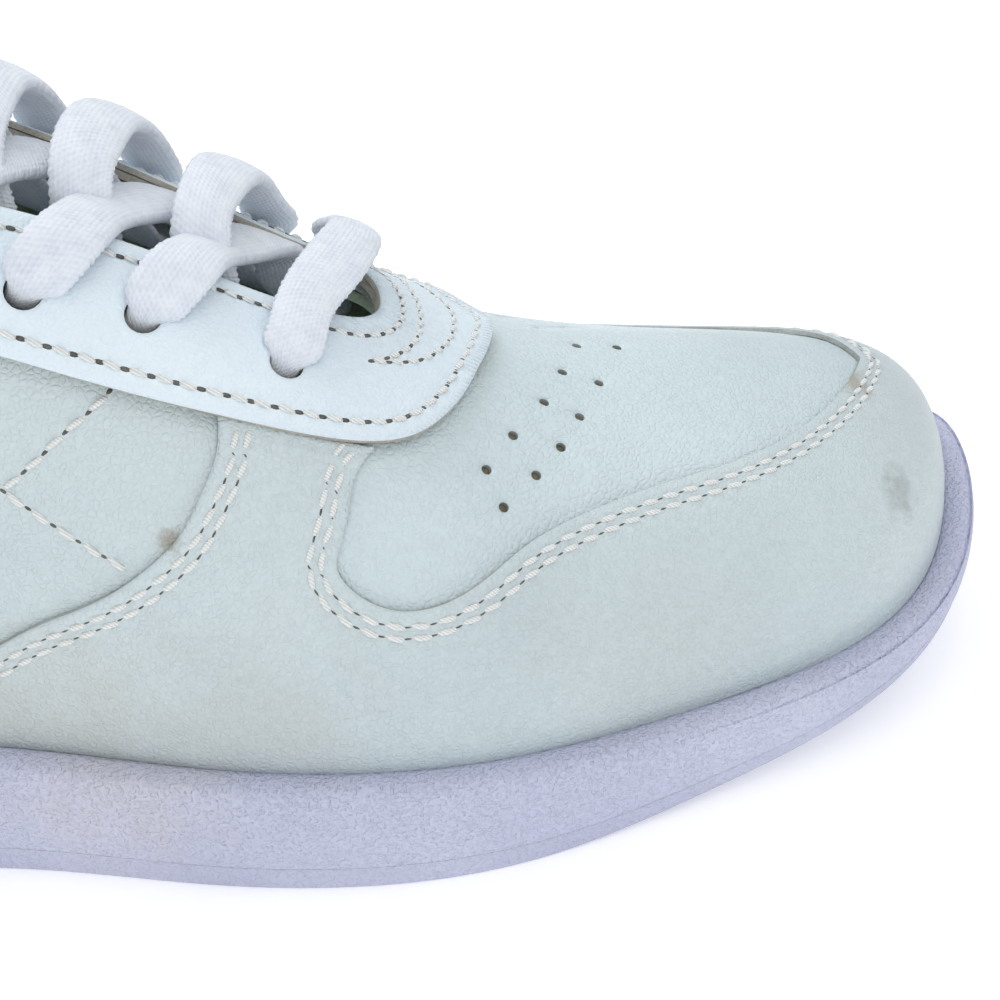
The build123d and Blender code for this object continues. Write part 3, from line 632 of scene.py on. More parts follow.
def scattered(loop, spacing):
    """Places inside the outline, about evenly spaced on the shoe."""
    low, high = loop.min(0), loop.max(0)
    levels = np.arange(low[1], high[1], spacing / SPAN[1])
    out = []
    for k, v in enumerate(levels):
        u = np.linspace(low[0], high[0], 500)
        length = running_length(surface(u, v))
        at = np.arange(spacing * (0.5 if k % 2 else 1.0), length[-1], spacing)
        out.append(np.stack([np.interp(at, length, u), np.full(len(at), v)], 1))
    return np.vstack(out)


# How a sheet's face lies near its edge: distance from the edge against height, in millimetres.
CUT_EDGE = [(0.0, -0.32), (0.16, -0.1), (0.45, 0.0), (1.1, 0.04)]
SINGLE_SEAM = CUT_EDGE + [(1.8, 0.0), (2.5, -0.16), (3.2, 0.0), (4.2, 0.05)]
DOUBLE_SEAM = CUT_EDGE + [(1.5, 0.0), (2.0, -0.16), (2.75, 0.05), (3.5, -0.16), (4.2, 0.02), (5.4, 0.06)]
HOLE_EDGE = [(0.0, -0.4), (0.3, -0.14), (0.8, 0.0)]


def cut_panel(name, outline, layer, materials, edge=CUT_EDGE, holes=(), spacing=2.0, step=1.0):
    """Sheet of the upper with any outline and any holes, its edges cut and slightly rounded."""
    outer, inner = layer
    loop = even_places(outline, step)
    loops = [loop, *holes]
    places, heights, edges = [], [], []
    border_tree = tree_of(np.vstack([surface(r[:, 0], r[:, 1]) for r in loops]))
    start = 0
    for k, ring in enumerate(loops):
        places.append(ring)
        heights.append(np.full(len(ring), (HOLE_EDGE if k else edge)[0][1]))
        edges += [(start + i, start + (i + 1) % len(ring)) for i in range(len(ring))]
        start += len(ring)
    for k, ring in enumerate(loops):
        for distance, height in (HOLE_EDGE if k else edge)[1:]:
            moved = moved_sideways(ring, distance)
            every = max(1, round(min(distance, 2.0) * 0.6)) if k == 0 else 1
            moved = moved[::every]
            keep = far_enough(surface(moved[:, 0], moved[:, 1]), border_tree, distance * 0.85)
            places.append(moved[keep])
            heights.append(np.full(keep.sum(), height))
    last = edge[-1][0]
    fill = scattered(loop, spacing)
    fill = fill[inside(fill * SPAN, loop * SPAN)]
    fill = fill[far_enough(surface(fill[:, 0], fill[:, 1]), border_tree, last + spacing * 0.5)]
    places.append(fill)
    heights.append(np.full(len(fill), edge[-1][1]))
    places, heights = np.vstack(places), np.concatenate(heights)
    flat = places * SPAN
    result = delaunay_2d_cdt([Vector(p) for p in flat], edges, [], 0, 1e-5)
    source = np.array([o[0] if o else -1 for o in result[3]])
    new_flat = np.array([tuple(p) for p in result[0]])
    for i in np.nonzero(source < 0)[0]:
        source[i] = np.argmin(((flat - new_flat[i]) ** 2).sum(1))
    faces = np.array([f for f in result[2] if len(f) == 3])
    middles = new_flat[faces].mean(1)
    keep = inside(middles, loop * SPAN)
    for hole in holes:
        keep &= ~inside(middles, hole * SPAN)
    faces = source[faces[keep]]
    a, b, c = flat[faces[:, 0]], flat[faces[:, 1]], flat[faces[:, 2]]
    turn = (b[:, 0] - a[:, 0]) * (c[:, 1] - a[:, 1]) - (b[:, 1] - a[:, 1]) * (c[:, 0] - a[:, 0])
    faces = faces[np.abs(turn) > 1e-9]
    turn = turn[np.abs(turn) > 1e-9]
    faces[turn < 0] = faces[turn < 0][:, ::-1]
    u, v = places[:, 0], places[:, 1]
    top = raised(u, v, outer + heights)
    low = raised(u, v, np.full(len(u), inner))
    count = len(places)
    walls = [(i, i + count, j + count, j) for i, j in edges]
    all_faces = [tuple(f) for f in faces] + [tuple(f[::-1] + count) for f in faces] + walls
    slots = [0] * len(faces) + [len(materials) - 1] * (len(faces) + len(walls))
    return make_mesh(name, np.vstack([top, low]), all_faces, materials, slots)


def level_line(start, end, v, count):
    """Places evenly spaced round the shoe, all at one height."""
    return np.stack([np.linspace(start, end, count), np.full(count, v)], 1)


def beside(line, distance):
    """An open line of places moved to its left, with its points evenly spaced."""
    return moved_sideways(even_places(line, 1.0, closed=False), distance, closed=False)


def mirrored(line):
    """The same line on the other side, run the other way."""
    return np.stack([1 - line[::-1, 0], line[::-1, 1]], 1)


def both_halves(line):
    """A line that ends on the centre line, with its mirror image."""
    other = mirrored(line)
    return np.vstack([line, other[1:]])


# ---------------------------------------------------------------- seams

PITCH = 3.5          # between needle holes
THREAD_RADIUS = 0.42
STITCH_INSET = 0.45  # from a needle hole to where the thread shows
STITCH_JITTER = 0.12
SLANT, SLANT_JITTER = 0.16, 0.05
HOLE_SIZE = (0.66, 0.34, 0.2)


def seam(name, lines, height, pitch=PITCH):
    """Lockstitch seam: a short slanted thread from hole to hole, with needle holes between whose dark
    mouths are painted shadow.
    """
    threads, pits = [[], []], [[], []]
    sides, stations = 7, 7
    for line in lines:
        places = even_places(line, 0.5, closed=False)
        points = raised(places[:, 0], places[:, 1], np.full(len(places), height))
        normals = outward_normal(places[:, 0], places[:, 1])
        length = running_length(points)
        count = max(1, round(length[-1] / pitch))
        step = length[-1] / count
        for i in range(count):
            jitter = random.uniform(-STITCH_JITTER, STITCH_JITTER)
            begin, end = i * step + STITCH_INSET + jitter, (i + 1) * step - STITCH_INSET + jitter
            a, b = points_at(begin, length, points), points_at(end, length, points)
            up = points_at((begin + end) / 2, length, normals)
            forward = (b - a) / np.linalg.norm(b - a)
            side = np.cross(up, forward)
            slant = SLANT + random.uniform(-SLANT_JITTER, SLANT_JITTER)
            first = len(threads[0])
            for k in range(stations):
                w = k / (stations - 1)
                centre = points_at(begin + (end - begin) * w, length, points)
                arch = math.sin(math.pi * w) ** 0.6
                centre = centre + up * (0.34 * arch - 0.17) + side * slant * (1 - 2 * w)
                radius = THREAD_RADIUS * (0.62 + 0.38 * arch)
                for m in range(sides):
                    angle = 2 * math.pi * m / sides
                    ring = side * math.cos(angle) + up * math.sin(angle) * 0.8
                    threads[0].append(centre + ring * radius)
            threads[1] += tube_faces(stations, sides, first)
            add_pit(pits, points_at(i * step, length, points), forward, side, up)
    seam_piece = make_mesh(name, threads[0], threads[1], [THREAD], crease=180)
    hole_piece = make_mesh(name + "_holes", pits[0], pits[1], [NEEDLE_HOLE_SHADOW], crease=180)
    for piece in (seam_piece, hole_piece):
        place_piece(piece)


def add_pit(pits, centre, forward, side, up):
    """Small closed lens in painted shadow that shows as the dark mouth of a needle hole."""
    points, faces = pits
    first, count = len(points), 10
    points.append(centre + up * 0.05)
    for k in range(count):
        angle = 2 * math.pi * k / count
        points.append(centre + forward * HOLE_SIZE[0] * math.cos(angle)
                      + side * HOLE_SIZE[1] * math.sin(angle) - up * 0.03)
    points.append(centre - up * HOLE_SIZE[2])
    for k in range(count):
        a, b = first + 1 + k, first + 1 + (k + 1) % count
        faces.append((first, a, b))
        faces.append((first + count + 1, b, a))


# ---------------------------------------------------------------- upper

BASE, OVERLAY, STAY = (-0.1, -1.2), (1.13, 0.03), (2.35, 1.25)
LINING = (-1.28, -3.1)

GUARD_REAR = [(0.125, 0.10), (0.17, 0.17), (0.20, 0.235), (0.219, 0.288), (0.235, 0.334),
              (0.245, 0.376), (0.2535, 0.420), (0.260, 0.458), (0.272, 0.550), (0.279, 0.610),
              (0.2855, 0.690)]
GUARD_FRONT = [(0.3205, 0.690), (0.311, 0.634), (0.302, 0.550), (0.295, 0.478), (0.2915, 0.425),
               (0.2945, 0.388), (0.301, 0.372), (0.309, 0.382), (0.318, 0.410), (0.339, 0.490),
               (0.371, 0.538), (0.400, 0.534), (0.426, 0.496), (0.464, 0.412), (0.500, 0.328)]
STAY_EDGE = [(0.213, 0.770), (0.230, 0.742), (0.251, 0.714), (0.274, 0.684), (0.302, 0.676),
             (0.327, 0.706), (0.353, 0.766), (0.387, 0.822), (0.439, 0.850), (0.500, 0.844)]
LATERAL_EYELETS = [(0.312, 0.826), (0.282, 0.838), (0.259, 0.840), (0.2375, 0.850), (0.219, 0.870)]
MEDIAL_EYELETS = [(0.655, 0.880), (0.687, 0.830), (0.7165, 0.838), (0.7405, 0.840), (0.762, 0.850)]
ROWS = len(LATERAL_EYELETS)
EYELET_RADIUS = 2.3
HOLE_RADIUS = 0.75
HOLE_ROWS = [
    [(0.353, 0.664), (0.381, 0.724), (0.425, 0.754), (0.466, 0.754), (0.500, 0.734)],
    [(0.346, 0.582), (0.368, 0.636), (0.392, 0.674), (0.423, 0.704), (0.461, 0.708), (0.500, 0.684)],
]
VAMP_START = 0.291
PANEL_LOW, PANEL_HIGH = 0.02, 0.985
LINING_LOW, LINING_HIGH = 0.03, 0.972
STAY_TOP = 0.998
SEAM_DISTANCES = (2.0, 3.5)


def eyelet_holes():
    return [round_hole(u, v, EYELET_RADIUS, 22) for u, v in LATERAL_EYELETS + MEDIAL_EYELETS]


def breathing_holes():
    holes = []
    for row in HOLE_ROWS:
        for u, v in row:
            holes.append(round_hole(u, v, HOLE_RADIUS, 14))
            if u < 0.5:
                holes.append(round_hole(1 - u, v, HOLE_RADIUS, 14))
    return holes


def rectangle(left, right, low, high, count=40):
    """Anticlockwise outline between two places and two heights."""
    u = np.linspace(left, right, count)
    bottom = np.stack([u, low(u) if callable(low) else np.full(count, low)], 1)
    top = np.stack([u, high(u) if callable(high) else np.full(count, high)], 1)[::-1]
    return np.vstack([bottom, top])


def in_range(holes, left, right):
    return [h for h in holes if left < h[:, 0].mean() < right]


def vamp():
    outline = rectangle(VAMP_START, 1 - VAMP_START, PANEL_LOW, PANEL_HIGH, 90)
    holes = breathing_holes() + in_range(eyelet_holes(), VAMP_START, 1 - VAMP_START)
    piece = cut_panel("vamp_leather", outline, BASE, [SMOOTH_LEATHER, PAINTED_SHADE_EDGE], holes=holes)
    place_piece(piece, ["vamp"])


def quarter_range(side):
    """Where a quarter begins and ends, with a thin gap at the heel and at the vamp."""
    start, end = 0.002, VAMP_START - 0.0012
    return (start, end) if side < 0 else (1 - end, 1 - start)


def quarter(name, side):
    start, end = quarter_range(side)
    outline = rectangle(start, end, PANEL_LOW, PANEL_HIGH, 90)
    holes = in_range(eyelet_holes(), start, end)
    piece = cut_panel("quarter_leather_" + name, outline, BASE, [LEATHER, PAINTED_SHADE_EDGE], holes=holes,
                      spacing=2.6)
    place_piece(piece, ["quarter_" + name])
    lines = [[(0.2635, 0.690), (0.2575, 0.655), (0.2485, 0.606), (0.2400, 0.556), (0.2290, 0.500)],
             [(0.2290, 0.500), (0.2330, 0.466), (0.2390, 0.426), (0.2460, 0.392)]]
    lines += [[(u - 0.055, v - 0.06 * k) for k, (u, v) in enumerate(line)] for line in lines[:1]]
    drawn = [smooth_line(line) for line in lines]
    if side > 0:
        drawn = [mirrored(line) for line in drawn]
    seam(f"quarter_stitching_{name}", drawn, BASE[0] + 0.04)


def guard_outline():
    rear, front = smooth_line(GUARD_REAR, 14), smooth_line(GUARD_FRONT, 14)
    top = np.vstack([rear[1:], front])
    whole_top = both_halves(top)
    start = whole_top[0, 0]
    bottom = level_line(start, 1 - start, PANEL_LOW, 160)
    return np.vstack([bottom, whole_top[::-1]])


def guard_edges():
    """The mudguard's stitched edges: behind each arm, and over the vamp from arm to arm."""
    rear, front = smooth_line(GUARD_REAR, 14), smooth_line(GUARD_FRONT, 14)
    return [rear[6:-4], both_halves(front[5:]), mirrored(rear[6:-4])]


def mudguard():
    piece = cut_panel("mudguard_leather", guard_outline(), OVERLAY, [LEATHER, PAINTED_SHADE_EDGE],
                      edge=DOUBLE_SEAM, step=0.8)
    place_piece(piece, ["mudguard"])
    lines = []
    for edge in guard_edges():
        lines += [beside(edge, -distance) for distance in SEAM_DISTANCES]
    seam("mudguard_stitching", lines, OVERLAY[0] - 0.14)


def heel_patch():
    def top(u):
        return 0.74 - 0.30 * (np.abs(u) / 0.118) ** 2

    piece = cut_panel("heel_patch_leather", rectangle(-0.118, 0.118, PANEL_LOW, top, 60), OVERLAY,
                      [LEATHER, PAINTED_SHADE_EDGE], edge=DOUBLE_SEAM)
    place_piece(piece, ["heel_patch"])
    u = np.linspace(0.113, -0.113, 60)
    edge = np.stack([u, top(u)], 1)
    lines = [beside(edge, distance) for distance in SEAM_DISTANCES]
    seam("heel_patch_stitching", lines, OVERLAY[0] - 0.14)


def stay_outline(inset=0.0, rear=0.213):
    low = smooth_line(STAY_EDGE)
    low = low[low[:, 0] >= rear]
    bottom = both_halves(low)
    bottom[:, 1] += inset
    top = level_line(bottom[-1, 0], bottom[0, 0], STAY_TOP - inset * 0.3, 120)
    return np.vstack([bottom, top])


def eyestay():
    holes = eyelet_holes()
    piece = cut_panel("eyestay_leather", stay_outline(), STAY, [STAY_LEATHER, RAW_EDGE],
                      edge=SINGLE_SEAM, holes=holes, spacing=1.8, step=0.8)
    place_piece(piece, ["eyestay"])
    backing = cut_panel("eyestay_backing_leather", stay_outline(0.006, 0.2145), (1.21, 0.06),
                        [RAW_EDGE], edge=[(0.0, -0.12), (0.3, 0.0)], holes=holes, step=0.9)
    place_piece(backing, ["eyestay_backing"])
    low = both_halves(smooth_line(STAY_EDGE))
    outer = beside(low, 2.5)[2:-2]
    throat = beside(level_line(0.216, 0.335, STAY_TOP, 60), -2.6)
    arc = smooth_line([tuple(throat[-1]), (0.350, 0.944), (0.372, 0.950), (0.405, 0.960),
                       (0.450, 0.966), (0.500, 0.967)])
    inner = both_halves(np.vstack([throat[:-1], arc]))
    leaf_top = smooth_line([(0.346, 0.880), (0.372, 0.908), (0.410, 0.930), (0.455, 0.941),
                            (0.500, 0.944)])
    leaf_low = smooth_line([(0.346, 0.880), (0.375, 0.888), (0.415, 0.897), (0.458, 0.899),
                            (0.500, 0.898)])
    seam("eyestay_stitching", [outer], STAY[0] - 0.06, 3.1)
    leaf = [inner, both_halves(leaf_top), both_halves(leaf_low)]
    seam("eyestay_leaf_stitching", leaf, STAY[0] + 0.07, 2.6)


def linings():
    outline = rectangle(VAMP_START, 1 - VAMP_START, LINING_LOW, LINING_HIGH, 60)
    holes = in_range(eyelet_holes(), VAMP_START, 1 - VAMP_START)
    piece = cut_panel("vamp_lining_knit", outline, LINING, [FOAM_IN_PAINTED_SHADE, GREEN_KNIT], holes=holes,
                      spacing=4.0)
    place_piece(piece, ["vamp_lining"])
    for name, side in SIDES:
        def top(u):
            share = np.clip(((u if side < 0 else 1 - u) - COLLAR_END) / 0.02, 0, 1)
            return 0.585 + 0.387 * share * share * (3 - 2 * share)

        start, end = quarter_range(side)
        piece = cut_panel("quarter_lining_knit_" + name, rectangle(start, end, LINING_LOW, top, 120),
                          LINING, [FOAM_IN_PAINTED_SHADE, GREEN_KNIT], spacing=4.0,
                          holes=in_range(eyelet_holes(), start, end))
        place_piece(piece, ["quarter_lining_" + name])


COLLAR_END = 0.188       # where the roll runs out, to both sides of the heel
COLLAR_FACE = -1.4       # height of the roll's outer face against the upper


def collar():
    """Padded collar: a soft roll over the top line and down inside the ankle."""
    section = [(0.575, -3.3), (0.62, -1.5), (0.72, -1.4), (0.85, -1.4), (0.95, -1.35), (0.985, -1.25),
               (1.003, -1.2), (1.016, -2.2), (1.020, -3.6), (1.012, -5.2), (0.988, -6.7),
               (0.95, -7.8), (0.89, -8.6), (0.82, -8.8), (0.75, -8.3), (0.69, -7.1), (0.64, -5.4),
               (0.60, -4.0)]
    stations = 150
    u = np.linspace(-COLLAR_END, COLLAR_END, stations)
    fill = np.clip((COLLAR_END - np.abs(u)) / 0.03, 0, 1)
    fill = 0.15 + 0.85 * np.sqrt(fill * (2 - fill))
    ring_count = 54
    loop = closed_curve(np.arange(len(section)), np.array(section), len(section))
    ring = loop(np.linspace(0, len(section), ring_count, endpoint=False))
    soft = 0.22 * np.sin(u * 310)[:, None] * np.sin(np.linspace(0, 2 * math.pi, ring_count))[None] ** 2
    heights = COLLAR_FACE + (ring[None, :, 1] - COLLAR_FACE) * fill[:, None] - soft
    points = raised(u[:, None] + 0 * ring[None, :, 0], ring[None, :, 0] + 0 * u[:, None], heights)
    faces = [f[::-1] for f in tube_faces(stations, ring_count)]
    piece = make_mesh("collar_padding", points.reshape(-1, 3), faces, [WHITE_KNIT], crease=60)
    place_piece(piece, ["collar_foam", "collar_lining"])
    row = level_line(-0.186, 0.186, 0.955, 120)
    seam("collar_stitching", [row], BASE[0] + 0.04, 3.2)


# ---------------------------------------------------------------- tongue

TONGUE_LINE = [(52, 48.5), (34, 56.0), (16.5, 65.0), (0, 74.0), (-20, 83.0), (-36, 89.5),
               (-46, 94.5), (-54, 100.5), (-63, 108.5), (-70, 117.0)]
TONGUE_FRONT, TONGUE_SEAM, TONGUE_TIP = 52.0, -50.0, -70.0
TONGUE_ARCH = 20.0
TONGUE_WIDTHS = [(52, 15), (34, 17), (0, 17), (-20, 16), (-46, 16), (-54, 18.5), (-61, 23),
                 (-66, 23.5), (-70, 22)]
tongue_height = along(TONGUE_LINE)
tongue_half_width = along(TONGUE_WIDTHS)


def tongue_sheet(x, across, height):
    """Point of the tongue: x along the shoe, across from -1 to 1 and a height over its face."""
    corner = np.clip((-60 - x) / 10.0, 0, 0.999)
    width = tongue_half_width(x) * (1 - 0.42 * (1 - np.sqrt(1 - corner ** 2)))
    offset = across * width
    slope = tongue_height(x + 0.5) - tongue_height(x - 0.5)
    up = unit(np.stack([-slope, offset / TONGUE_ARCH, np.ones_like(offset)], -1))
    arch = offset ** 2 / (2 * TONGUE_ARCH)
    face = np.stack([x + 0 * offset, CENTRE_Y + offset, tongue_height(x) - arch], -1)
    return face + up * height[..., None]


def tongue():
    """Padded tongue: leather outside, foam in the middle and a knitted lining below."""
    rows, columns = 110, 41
    x = np.linspace(TONGUE_FRONT, TONGUE_TIP, rows)[:, None]
    across = np.linspace(-1, 1, columns)[None, :]
    rim = np.minimum(1 - np.abs(across), np.clip((x - TONGUE_TIP) / 22, 0, 1)) + 0 * x
    rim = np.minimum(rim, np.clip((TONGUE_FRONT - x) / 10, 0, 1) + 0 * across)
    swell = np.sqrt(np.clip(rim / 0.28, 0, 1) * (2 - np.clip(rim / 0.28, 0, 1)))
    channel = np.exp(-((rim - 0.17) / 0.035) ** 2)
    cross_seam = np.exp(-((x - TONGUE_SEAM) / 1.3) ** 2) + 0 * across
    crumple = 0.25 * np.sin(x * 0.55 + 3 * across) * np.cos(across * 5 + x * 0.12)
    padding = np.where(x < -48, 1.0, 0.35) + 0 * across
    top = -1.2 + 1.0 * swell + 0.8 * padding * swell - 0.7 * channel - 0.5 * cross_seam * padding
    top = top + crumple * 0.5 * swell * padding
    low = -3.0 - 1.6 * swell - 0.5 * padding * swell + 0.4 * channel
    upper = tongue_sheet(x + 0 * across, across + 0 * x, top)
    lower = tongue_sheet(x + 0 * across, across + 0 * x, low)
    count = rows * columns
    points = np.vstack([upper.reshape(-1, 3), lower.reshape(-1, 3)])
    faces = [f[::-1] for f in grid_faces(rows, columns)]
    slots = [0] * len(faces)
    lining = [tuple(i + count for i in f) for f in grid_faces(rows, columns)]
    faces += lining
    slots += [2] * len(lining)
    border = list(range(columns)) + [columns * (r + 1) - 1 for r in range(1, rows)]
    border += list(range(count - 2, count - columns - 1, -1))
    border += [columns * r for r in range(rows - 2, 0, -1)]
    for a, b in zip(border, border[1:] + border[:1]):
        faces.append((a, b, b + count, a + count))
        slots.append(1)
    piece = make_mesh("tongue_padding", points, faces, [SMOOTH_LEATHER, WHITE_KNIT, GREEN_KNIT],
                      slots, crease=75)
    return piece

# ---------------------------------------------------------------- lace

LACE_WIDTH, LACE_THICK = 8.0, 3.0
LACE_UNDER = -5.8
LACE_JOINT = 0.4
LACE_INSIDE_EDGE = 2.5
RISER_HEIGHTS = [10.6, 10.8, 10.4, 11.6]
CROSS_DROP = 5.4
BAR_HEIGHT = 8.0
# Where a run passes over the throat: distance before the centre line and drop below its height.
CROSS_POINTS = {-1: [(7.5, 3.0), (-3.0, -1.0), (-11.0, 0.5)], 1: [(6.0, 1.5), (-6.5, 1.5)]}
KNOT_SIZE = (11.0, 13.0, 9.5)
KNOT_CENTRE = (-46.0, CENTRE_Y, 104.0)
KNOT_GAP = 0.6
AGLET_RADIUS = 2.0


def eyelet_places(side):
    return LATERAL_EYELETS if side < 0 else MEDIAL_EYELETS


def eyelet_frame(row, side):
    """Place of an eyelet, its outward direction and the direction up to the throat's edge."""
    u, v = eyelet_places(side)[row]
    towards_edge = surface(u, v + 0.02) - surface(u, v - 0.02)
    normal = outward_normal(np.array(u), np.array(v))
    return surface(u, v), normal, towards_edge / np.linalg.norm(towards_edge)


throat_height = along([(x, z) for u, x, gap, z, *rest in TOP_LINE if 0.2 < u < 0.42])


def start_under(row, side):
    """From inside an eyelet down, and under the eyestay out into the throat."""
    hole, out, edge = eyelet_frame(row, side)
    u = eyelet_places(side)[row][0] - side * 0.008
    inside_edge = raised(np.array(u), np.array(1.0), LACE_UNDER) + edge * LACE_INSIDE_EDGE
    return [hole + out * LACE_UNDER, inside_edge + out * 1.0]


def end_over(row, side, start):
    """From over the eyestay's edge down into an eyelet; the braid lies low on its way there."""
    hole, out, edge = eyelet_frame(row, side)
    way = start - hole
    way -= (way @ out) * out
    way /= np.linalg.norm(way)
    edge_point = hole + way * 8.5 + out * 5.0
    return [edge_point, hole + way * 2.2 + out * 4.3, hole + out * LACE_JOINT]


def lace_cross(row, side):
    """Run from under one eyelet across the tongue to the next eyelet on the other side."""
    height = RISER_HEIGHTS[row] if side < 0 else RISER_HEIGHTS[row] - CROSS_DROP
    start = start_under(row, side)
    end = eyelet_frame(row + 1, -side)[0]
    middle = []
    for offset, drop in CROSS_POINTS[side]:
        share = (CENTRE_Y + offset * side - start[-1][1]) / (end[1] - start[-1][1])
        x = start[-1][0] + (end[0] - start[-1][0]) * share
        middle.append(np.array([x, CENTRE_Y + offset * side, throat_height(x) + height - drop]))
    return start + middle + end_over(row + 1, -side, middle[-1])


def lace_bar():
    """Straight run over the front of the throat, between the two lowest eyelets."""
    holes = [eyelet_frame(0, side)[0] for side in (-1, 1)]
    middle = (holes[0] + holes[1]) / 2
    middle[2] = surface(0.36, 1.0)[2] + BAR_HEIGHT
    left, right = end_over(0, -1, middle), end_over(0, 1, middle)
    return left[::-1] + [middle + [4.0, -4.5, 0], middle + [8.0, 4.5, 0.4]] + right


def knot_port(side, forward, up):
    x, y, z = KNOT_CENTRE
    return np.array([x + forward, y + side * (KNOT_SIZE[1] / 2 + KNOT_GAP), z + up])


def lace_lead(side):
    """From the top eyelet under the eyestay and up to the knot."""
    port = knot_port(side, 2.4, -2.3) + np.array([0, side * 0.5, 0])
    outside = port + np.array([0, side * 3.0, -1.5])
    return start_under(ROWS - 1, side) + [outside, port]


def held_lace_route():
    """Whole route of the lace from the knot through all the eyelets and back to the knot."""
    strands = []
    for first in (1, -1):
        strand, side = [], first
        for row in range(ROWS - 1):
            strand += lace_cross(row, side)
            side = -side
        strands.append(strand + lace_lead(side))
    return strands[1][::-1] + lace_bar() + strands[0]


def bow_loop_route(side):
    x, y, z = KNOT_CENTRE
    route = [(-3, 14, 2.5), (-6.5, 23, -2), (-11, 31, -11), (-12.5, 35.5, -23), (-8, 37.5, -31.5),
             (-2.5, 37, -26), (-0.8, 33.5, -16), (-1.2, 26.5, -7), (-2.2, 17, -2.8)]
    points = [np.array([x + a, y + side * b, z + c]) for a, b, c in route]
    return [knot_port(side, -2.6, 2.3)] + points + [knot_port(side, -2.6, -2.4)]


def tail_route(side):
    x, y, z = KNOT_CENTRE
    route = [(3, 14, 2.5), (4.5, 23.5, -1.5), (6, 32, -11), (7.5, 37.5, -24), (7.5, 39, -37)]
    points = [np.array([x + a, y + side * b, z + c]) for a, b, c in route]
    return [knot_port(side, 2.4, 2.3)] + points


def smooth_route(name, points, resolution=14):
    """Points along the NURBS line of a route, in millimetres."""
    curve = bpy.data.curves.new(name, "CURVE")
    curve.dimensions = "3D"
    curve.resolution_u = resolution
    spline = curve.splines.new("NURBS")
    spline.points.add(len(points) - 1)
    for knot, p in zip(spline.points, points):
        knot.co = (*(np.asarray(p) * MM), 1.0)
    spline.order_u = 3
    spline.use_endpoint_u = True
    line = bpy.data.objects.new(name, curve)
    mesh = bpy.data.meshes.new_from_object(line)
    out = np.array([v.co[:] for v in mesh.vertices]) / MM
    bpy.data.objects.remove(line)
    bpy.data.curves.remove(curve)
    bpy.data.meshes.remove(mesh)
    return out


# Which way the braid's width lies: on the throat, and where the loops and ends hang.
THROAT_DIRECTION = np.array([-0.88, 0.0, 0.47])
LOOSE_DIRECTION = np.array([-1.0, 0.0, 0.35])


BRAID_STEP = 0.42        # between the braid's rings
PINCH_REACH = 2.6        # how far each side of an eyelet the braid is gathered
PINCHED_HALF = (2.15, 1.55)
EDGE_LOOP = 1.05         # from one small loop of the braid's edge to the next


def flat_lace(name, path, across, narrow_at=()):
    """Flat braid along a path: a flattened tube with small loops of yarn along both its edges."""
    length = running_length(path)
    count = max(8, round(length[-1] / BRAID_STEP))
    s = np.linspace(0, length[-1], count)
    points = points_at(s, length, path)
    for _ in range(2):
        points[1:-1] = (points[:-2] + 2 * points[1:-1] + points[2:]) / 4
    tangent = unit(np.gradient(points, axis=0))
    width_way = across - (tangent @ across)[:, None] * tangent
    for _ in range(6):
        width_way[1:-1] = (width_way[:-2] + width_way[1:-1] + width_way[2:]) / 3
    width_way = unit(width_way - (width_way * tangent).sum(1)[:, None] * tangent)
    thick_way = np.cross(tangent, width_way)
    half_width = np.full(count, LACE_WIDTH / 2)
    half_thick = np.full(count, LACE_THICK / 2)
    for centre in narrow_at:
        near = np.linalg.norm(points - centre, axis=1)
        pinch = np.exp(-(near / PINCH_REACH) ** 4)
        half_width = half_width * (1 - pinch) + PINCHED_HALF[0] * pinch
        half_thick = half_thick * (1 - pinch) + PINCHED_HALF[1] * pinch
    half_width += 0.16 * np.sin(s * 0.31 + 1.1) * (half_width > 3)
    around = 28
    angle = 2 * math.pi * np.arange(around) / around
    c, d = np.cos(angle), np.sin(angle)
    flat_x = np.sign(c) * np.abs(c) ** 0.8
    flat_y = np.sign(d) * np.abs(d) ** 0.72
    crown = 1 - 0.12 * c ** 2
    picot = 0.16 * np.abs(c) ** 6 * np.cos(s * 2 * math.pi / EDGE_LOOP)[:, None]
    rib = 0.05 * np.cos(flat_x * 16.0)[None] * np.abs(d)[None] ** 0.5
    chevron = 0.03 * np.sin(s[:, None] * 2 * math.pi / 1.5 + np.abs(flat_x)[None] * 9)
    x = half_width[:, None] * flat_x[None] + picot * np.sign(c)[None]
    y = half_thick[:, None] * (flat_y * crown)[None] + (rib + chevron) * np.sign(d)[None]
    grid = points[:, None] + x[..., None] * width_way[:, None] + y[..., None] * thick_way[:, None]
    uv = np.stack([np.repeat(s, around), np.tile(flat_x * LACE_WIDTH / 2, count)], 1)
    return make_mesh(name, grid.reshape(-1, 3), tube_faces(count, around), [BRAID], crease=180, uv=uv)


def lacing():
    holes = [eyelet_frame(row, side)[0] + eyelet_frame(row, side)[1] * 0.2
             for row in range(ROWS) for side in (-1, 1)]
    path = smooth_route("lacing route", held_lace_route())
    piece = flat_lace("lace", path, THROAT_DIRECTION, holes)
    names = ["lace_bar"] + [f"lace_run_{row + 1}_{name}" for row in range(ROWS - 1)
                            for name in ("lateral", "medial")]
    place_piece(piece, names + ["lace_lead_lateral", "lace_lead_medial"])


